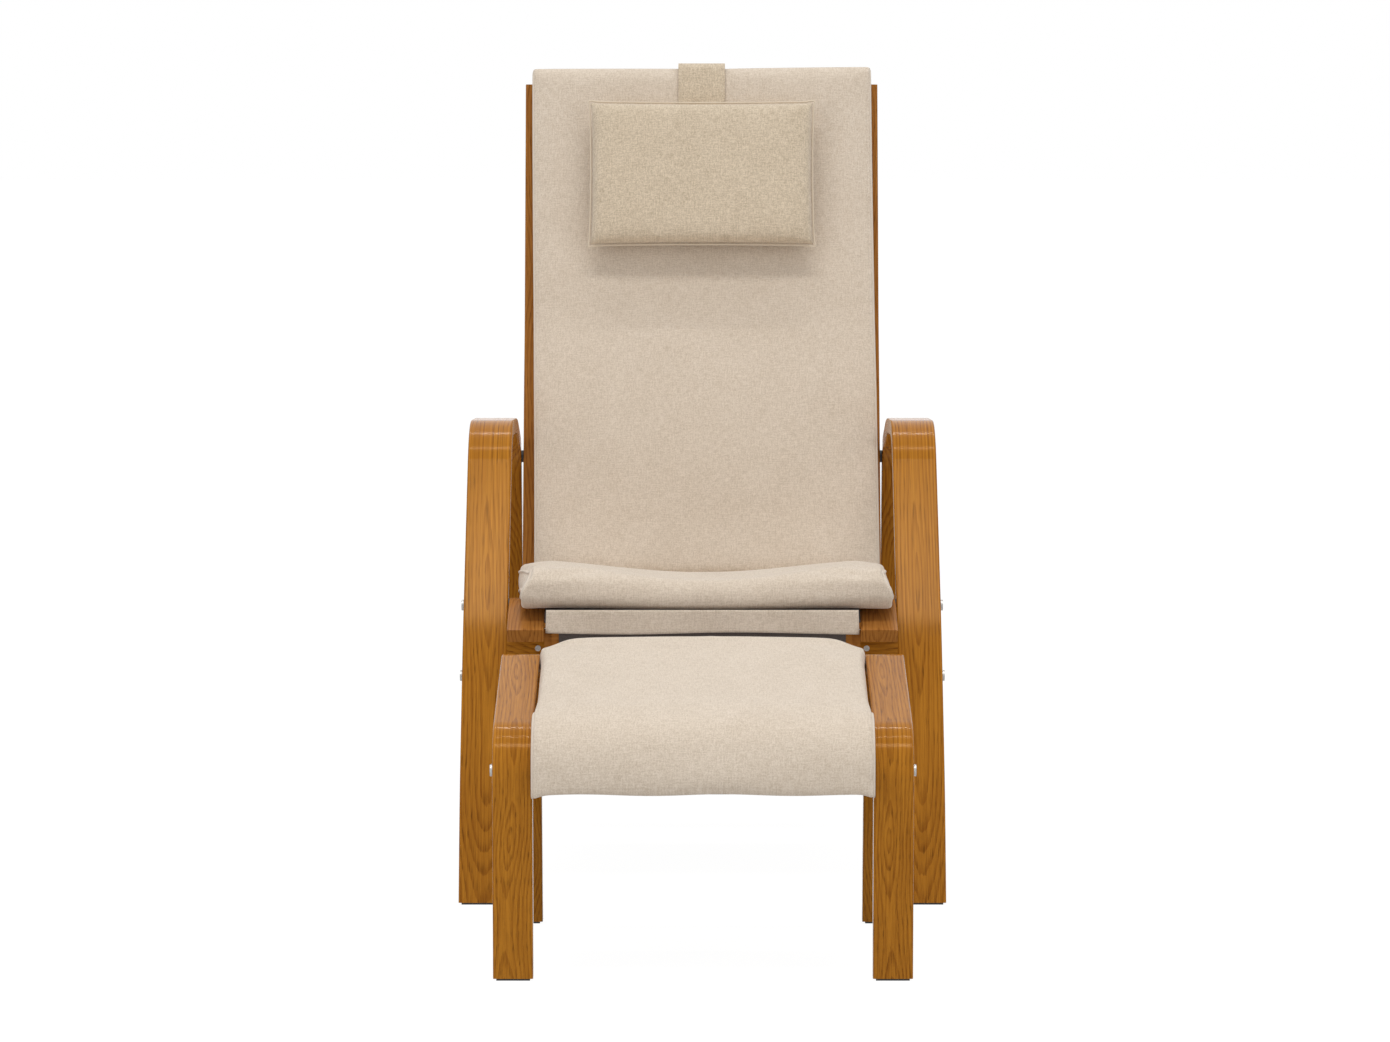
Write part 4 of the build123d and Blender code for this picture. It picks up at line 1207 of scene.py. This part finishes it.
def sewn_cushion(operator, node, name, tips, face, rows, sag, rest_side, shape=None):
    """A cushion's skin from its CAD node, swollen between the seams at its ends."""
    piece = boxed_cushion(node, name, tips, face, rows, operator.end_radius, *sag)
    if shape is not None:
        shape(piece.data)
    pins = end_pins(piece, operator.end_radius)
    return swell(piece, name, linen(), operator.cap, pins, rest_side)


class RECLINER_OT_seat_cushion(bpy.types.Operator):
    """Seat cushion with its sagging front roll, piped ends and creases"""
    bl_idname = "recliner.seat_cushion"
    bl_label = "Seat cushion"

    cap: length_value("Swell cap", "Furthest that a point of the pad may swell", 0.006)
    end_radius: length_value("End radius", "Rounding of the cushion's ends", 0.006)
    end_lean: length_value("End lean", "How far the roll's ends lean in at the top", 0.015)
    hang: length_value("Roll hang", "How far the roll hangs down in front", 0.0036)
    deeper: length_value("Deeper sag", "How much further the top of the roll sags in the middle", 0.006)
    askew: length_value("Askew", "How far the roll stands to one side", 0.006)
    sag_from: plain_value("Sag from", "Share of the half width where the sag starts to rise", 0.05)
    sag_to: plain_value("Sag to", "Share of the half width where the sag has gone", 0.96)

    def execute(self, context):
        tips = ((0, -1, 0), (0, 0.9, 0.43))
        cushion = sewn_cushion(
            self, "seat_cushion", "seat_pad", tips, (0, -0.2, 1), 96, (self.sag_from, self.sag_to),
            (0, 0.1, -0.995),
        )
        self.crease(cushion.data)
        finish_piece(cushion, "seat_shell", "linen_cover", "seat_cushion")
        pipe_ends(cushion, "seat_piping", "seat_shell", self.end_radius * SEAM_INSET_SHARE, self.lean)
        self.lean(cushion.data)
        return {"FINISHED"}

    def lean(self, mesh):
        """The roll's ends lean in towards its top, and the roll hangs a little over the nose."""
        places = coordinates(mesh)
        x, y, z = places.T
        low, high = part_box("seat_cushion")
        front = 1 - smooth_step(y, low[1] + ROLL_DEPTH[0], low[1] + ROLL_DEPTH[1])
        rise = smooth_step(z, high[2] - ROLL_TOP[0], high[2] - ROLL_TOP[1])
        end = smooth_step(np.abs(x), high[0] - ROLL_END, high[0])
        x -= np.sign(x) * self.end_lean * front * rise * end
        upper = smooth_step(z, high[2] - SAG_TOP[0], high[2] - SAG_TOP[1])
        middle = np.clip(1 - (x / high[0]) ** 2, 0.0, 1.0)
        z -= (self.hang + self.deeper * upper * middle) * front
        x += self.askew * front
        place(mesh, places)

    def crease(self, mesh):
        """Small folds that run in from the piped ends of the roll."""
        places = coordinates(mesh)
        x, y, z = places.T
        half = np.abs(x).max()
        near_end = smooth_step(np.abs(x), half - CREASE_END[0], half - CREASE_END[1])
        front = 1 - smooth_step(y, *CREASE_DEPTH)
        wave = np.sin(z * 210 + x * 38) * np.sin(y * 90 + 1.3)
        place(mesh, places + normals(mesh) * (CREASE_HEIGHT * near_end * front * wave)[:, None])


def pipe_ends(cushion, name, body, inset, reshape=None):
    """Piping along both end seams of a cushion, with stitches beside it."""
    half = np.abs(coordinates(cushion.data)[:, 0]).max()
    loops = []
    stitches = []
    for side in (-1, 1):
        seam = slice_loop(cushion, (side * (half - inset), 0, 0), (1, 0, 0))
        loops.append((even_loop(seam, 240, 4), True))
        beside = slice_loop(cushion, (side * (half - inset - STITCH_INSET), 0, 0), (1, 0, 0))
        stitches.append((even_loop(beside, 240, 2), True))
    radius = bpy.context.scene.recliner_pads.piping
    piping = sew(name, loops, radius, PIPING_STEP, linen_thread(), False)
    rows = stitch_rows(name + "_stitches", stitches, linen_thread())
    for seam in (piping, rows):
        if reshape is not None:
            reshape(seam.data)
        finish_piece(seam, body, "linen_cover")


class RECLINER_OT_back_cushion(bpy.types.Operator):
    """Back cushion with piped side seams"""
    bl_idname = "recliner.back_cushion"
    bl_label = "Back cushion"

    cap: length_value("Swell cap", "Furthest that a point of the pad may swell", 0.0028)
    end_radius: length_value("Edge radius", "Rounding of the cushion's side edges", 0.005)
    settled: length_value("Settled", "How far the top edge has settled down", 0.006)
    foot_drop: length_value("Foot drop", "How far the middle of the lower edge sinks into the seat", 0.012)
    askew: length_value("Askew", "How far the cover's lower end stands to one side", 0.008)

    def execute(self, context):
        tips = (tuple(-BACK_UP), tuple(BACK_UP))
        cushion = sewn_cushion(
            self, "back_cushion", "back_pad", tips, tuple(BACK_OUT), 108, EVEN_SAG, (0, 0.9578, -0.2873),
        )
        finish_piece(cushion, "seat_shell", "linen_cover", "back_cushion")
        pipe_ends(cushion, "back_piping", "seat_shell", self.end_radius * SEAM_INSET_SHARE, self.skew)
        self.skew(cushion.data)
        return {"FINISHED"}

    def skew(self, mesh):
        """Its lower end stands to one side, its top has settled and its foot sinks into the seat."""
        places = coordinates(mesh)
        x, y, z = places.T
        low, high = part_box("back_cushion")
        x += self.askew * (1 - smooth_step(z, low[2] - 0.1, high[2] + 0.05))
        top = smooth_step(z, high[2] - BACK_TOP[0], high[2] - BACK_TOP[1])
        across = x / high[0]
        z -= top * (self.settled - BACK_TILT * across)
        foot = 1.0 - smooth_step(z, low[2] + BACK_FOOT[0], low[2] + BACK_FOOT[1])
        foot = foot * self.foot_drop * np.clip(1.0 - across * across * 0.7, 0.0, 1.0)
        y -= foot * 1.3
        z -= foot * 0.8
        place(mesh, places)


class RECLINER_OT_front_flap(bpy.types.Operator):
    """Cloth tail of the seat cover that hangs under the roll, with its hem"""
    bl_idname = "recliner.front_flap"
    bl_label = "Front flap"

    thickness: length_value("Thickness", "Thickness of the cover's cloth", 0.0012)
    wave: length_value("Wave", "How far the hanging cloth waves", 0.0008)

    def execute(self, context):
        low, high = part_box("front_flap")
        columns, rows = 96, 10
        height = high[2] - low[2]
        places = []
        for row in range(rows + 1):
            fall = row / rows
            for column in range(columns + 1):
                share = -1 + 2 * column / columns
                x = share * (high[0] - 0.001 * (1 - fall))
                y = (low[1] + high[1]) / 2 + self.wave * fall * math.sin(9.0 * share + 1.1)
                z = high[2] - height * fall + 0.0014 * fall * math.sin(4.1 * share + 0.6)
                places.append((x, y, z))
        width = columns + 1
        faces = [
            (row * width + column, (row + 1) * width + column, (row + 1) * width + column + 1,
             row * width + column + 1)
            for row in range(rows) for column in range(columns)
        ]
        mesh = bpy.data.meshes.new("flap")
        mesh.from_pydata(places, [], faces)
        flap = new_object("flap", mesh, linen())
        thicken(flap, self.thickness)
        flap = settle(flap)
        finish_piece(flap, "seat_shell", "linen_cover", "front_flap")
        hem = [
            Vector(places[(rows - 2) * width + column]) - Vector((0, self.thickness * 0.5, 0))
            for column in range(columns + 1)
        ]
        stitches = stitch_rows("flap_stitches", [(hem, False)], linen_thread())
        finish_piece(stitches, "seat_shell", "linen_cover")
        return {"FINISHED"}


class RECLINER_OT_head_pillow(bpy.types.Operator):
    """Head pillow with a piped rim and drawn-out corners"""
    bl_idname = "recliner.head_pillow"
    bl_label = "Head pillow"

    cap: length_value("Swell cap", "Furthest that a point of the pillow may swell", 0.006)
    rim_share: plain_value("Rim share", "Height of the rim's seam in the pillow's thickness", 0.58)
    steepness: plain_value("Steepness", "Lower values give a boxier pillow", 0.38)
    pull: plain_value("Pull", "Share that the rim is drawn in between the corners", 0.014)
    sunk: length_value("Sunk", "How far the pillow hangs below its CAD solid", 0.0125)
    stretch: length_value("Stretch", "How much further the rim reaches up and down", 0.0012)
    ear: length_value("Corner reach", "How far the corners stand out", 0.002)

    def execute(self, context):
        depth = span("head_pillow", BACK_OUT)
        rim_height = (depth[1] - depth[0]) * self.rim_share
        piece, rim, pinned = framed_pad(
            "head_pillow", "neck_pillow", 64, 44, rim_height, self.steepness, self.pull, self.ear,
            self.sunk, self.stretch,
        )
        pillow = swell(piece, "neck_pillow", pillow_weave(), self.cap, pinned, tuple(-BACK_OUT))
        finish_piece(pillow, "pillow", "pillow_cloth", "head_pillow")
        pipe_rim("neck_pillow_piping", rim, "pillow")
        return {"FINISHED"}


class RECLINER_OT_strap(bpy.types.Operator):
    """Strap over the top of the back, with its sewn edges, and its ends at pillow and counterweight"""
    bl_idname = "recliner.strap"
    bl_label = "Strap"

    layer: length_value("Layer", "Thickness of the strap's cloth", 0.0014)
    front_reach: length_value("Front reach", "How far the strap runs down behind the pillow", 0.150)
    rear_reach: length_value("Rear reach", "How far the fixed part runs down behind the back", 0.105)
    lift: length_value("Lift", "How far the strap stands off the back's CAD solid in front", 0.0034)
    crown_drop: length_value("Crown drop", "How far the strap presses the back's top edge down", 0.0075)

    def execute(self, context):
        cloth = pillow_weave()
        front_low, front_high = span("strap_front", BACK_OUT)
        rear_low, rear_high = span("strap_back", BACK_OUT)
        _, top = span("strap_over", BACK_UP)
        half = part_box("strap_over")[1][0]
        gap = self.layer / 2
        front = front_low + gap + self.lift
        rear = rear_high - gap - STRAP_CLEARANCE
        crown = top - gap - self.crown_drop
        over = [
            BACK_OUT * front + BACK_UP * (crown - self.front_reach), BACK_OUT * front + BACK_UP * crown,
            BACK_OUT * rear + BACK_UP * crown, BACK_OUT * rear + BACK_UP * (crown - self.rear_reach),
        ]
        path = divided(rounded_path(over, STRAP_BEND), CLOTH_STEP)
        strap = ribbon("strap", path, half, self.layer, cloth)
        finish_piece(strap, "seat_shell", "pillow_cloth", "strap_over")
        shown = [point for point in path if point.dot(BACK_OUT) > rear + STRAP_BEND_START]
        self.stitch("strap_stitches", shown, half, "seat_shell")
        tail_top = span("head_pillow", BACK_UP)[1] - STRAP_HOLD[0]
        tail_end = span("strap_front", BACK_UP)[0]
        tail = self.straight(front_high - gap, tail_top, tail_end)
        tail_piece = ribbon("strap_pillow_end", tail, half, self.layer, cloth)
        finish_piece(tail_piece, "pillow", "pillow_cloth", "strap_front")
        rear_end = span("strap_weight", BACK_UP)[1] - STRAP_HOLD[1]
        rear_path = self.straight(rear_low + gap, top - STRAP_REAR_START, rear_end)
        rear_piece = ribbon("strap_weight_end", rear_path, half, self.layer, cloth)
        finish_piece(rear_piece, "counterweight", "pillow_cloth", "strap_back")
        self.stitch("strap_weight_stitches", rear_path, half, "counterweight")
        return {"FINISHED"}

    def straight(self, line, top, end):
        """A straight path down the back, at a distance out from it."""
        return divided([BACK_OUT * line + BACK_UP * height for height in (top, end)], CLOTH_STEP)

    def stitch(self, name, path, half, body):
        """Rows of stitches along both edges, on the strap's outer face."""
        inset = half - STRAP_HEM
        rows = []
        for side in (-1, 1):
            line = []
            for index, point in enumerate(path):
                ahead = path[min(index + 1, len(path) - 1)] - path[max(index - 1, 0)]
                out = Vector((0, -ahead.z, ahead.y)).normalized() * (self.layer / 2)
                line.append(Vector((side * inset, point.y + out.y, point.z + out.z)))
            rows.append((line, False))
        finish_piece(stitch_rows(name, rows, pillow_thread()), body, "pillow_cloth")


class RECLINER_OT_counterweight(bpy.types.Operator):
    """Sewn counterweight behind the back, with its rim"""
    bl_idname = "recliner.counterweight"
    bl_label = "Counterweight"

    cap: length_value("Swell cap", "Furthest that a point of the weight may swell", 0.002)

    def execute(self, context):
        depth = span("strap_weight", BACK_OUT)
        piece, rim, pinned = framed_pad(
            "strap_weight", "sewn_weight", 32, 22, (depth[1] - depth[0]) / 2, 0.5, 0.012, 0.001,
        )
        weight = swell(piece, "sewn_weight", pillow_weave(), self.cap, pinned, (0, 0, 1))
        finish_piece(weight, "counterweight", "pillow_cloth", "strap_weight")
        pipe_rim("sewn_weight_piping", rim, "counterweight")
        return {"FINISHED"}


class RECLINER_OT_stool_cushion(bpy.types.Operator):
    """Footstool cushion that hangs between the frames, with piped side seams"""
    bl_idname = "recliner.stool_cushion"
    bl_label = "Footstool cushion"

    cap: length_value("Swell cap", "Furthest that a point of the pad may swell", 0.004)
    end_radius: length_value("Edge radius", "Rounding of the cushion's side edges", 0.005)
    draw_in: plain_value("Draw in", "Share that the sides draw in on the slope", 0.022)
    ear_drop: length_value("Corner drop", "How far the rear corners are drawn down", 0.012)

    def execute(self, context):
        tips = ((0, 0, -1), (0, 1, 0))
        cushion = sewn_cushion(
            self, "stool_cushion", "stool_pad", tips, (0, -0.6, 0.8), 66, EVEN_SAG, (0, 0.6, -0.8),
            self.hang,
        )
        finish_piece(cushion, "footstool", "linen_cover", "stool_cushion")
        pipe_ends(cushion, "stool_piping", "footstool", self.end_radius * SEAM_INSET_SHARE)
        return {"FINISHED"}

    def hang(self, mesh):
        """The hem waves, the sides draw in, and the rear corners are drawn down."""
        places = coordinates(mesh)
        x, y, z = places.T
        low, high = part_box("stool_cushion")
        across = x / high[0]
        away = np.abs(across)
        drop = 1 - smooth_step(z, low[2], low[2] + STOOL_HEM)
        corner = smooth_step(away, 0.93, 1.0)
        wave = 0.0035 + 0.0010 * np.sin(across * 7.5 + 0.7) - 0.0045 * corner
        rear = smooth_step(y, high[1] - STOOL_REAR[0], high[1] - STOOL_REAR[1])
        outer = smooth_step(away, 0.80, 1.0)
        bow = 0.0022 * (1 - across * across)
        z += drop * wave + rear * (bow - self.ear_drop * outer)
        slope = smooth_step(y, low[1] + STOOL_SLOPE[0], low[1] + STOOL_SLOPE[1])
        slope *= 1 - 0.75 * rear
        x *= 1 - self.draw_in * slope
        full = 1 - smooth_step(z, low[2] + STOOL_SHOULDER[0], low[2] + STOOL_SHOULDER[1])
        x *= 1 + 0.006 * (1 - full) * (1 - slope)
        place(mesh, places)


# Panel and registration

PIECE_OPERATORS = (
    RECLINER_OT_stage,
    RECLINER_OT_frames,
    RECLINER_OT_shell_wood,
    RECLINER_OT_hardware,
    RECLINER_OT_canvas,
    RECLINER_OT_seat_cushion,
    RECLINER_OT_back_cushion,
    RECLINER_OT_front_flap,
    RECLINER_OT_head_pillow,
    RECLINER_OT_strap,
    RECLINER_OT_counterweight,
    RECLINER_OT_stool_cushion,
)


class RECLINER_PT_panel(bpy.types.Panel):
    """Sizes, colours and steps of the recliner's finish"""
    bl_idname = "RECLINER_PT_panel"
    bl_label = "Recliner"
    bl_space_type = "VIEW_3D"
    bl_region_type = "UI"
    bl_category = "Recliner"

    def draw(self, context):
        column = self.layout.column()
        for group in ("recliner_colours", "recliner_pads", "recliner_studio"):
            values = getattr(context.scene, group)
            for name in values.bl_rna.properties.keys():
                if name not in ("rna_type", "name"):
                    column.prop(values, name)
        for operator in PIECE_OPERATORS:
            column.operator(operator.bl_idname)


GROUPS = (
    ("recliner_colours", ReclinerColours),
    ("recliner_pads", ReclinerPads),
    ("recliner_studio", ReclinerStudio),
)


def register():
    for name, group in GROUPS:
        bpy.utils.register_class(group)
        setattr(bpy.types.Scene, name, PointerProperty(type=group))
    for operator in PIECE_OPERATORS:
        bpy.utils.register_class(operator)
    bpy.utils.register_class(RECLINER_PT_panel)


def unregister():
    bpy.utils.unregister_class(RECLINER_PT_panel)
    for operator in reversed(PIECE_OPERATORS):
        bpy.utils.unregister_class(operator)
    for name, group in reversed(GROUPS):
        delattr(bpy.types.Scene, name)
        bpy.utils.unregister_class(group)


def main():
    register()
    for operator in PIECE_OPERATORS:
        module, name = operator.bl_idname.split(".")
        getattr(getattr(bpy.ops, module), name)()
    bpy.context.view_layer.update()


if __name__ == "__main__":
    main()
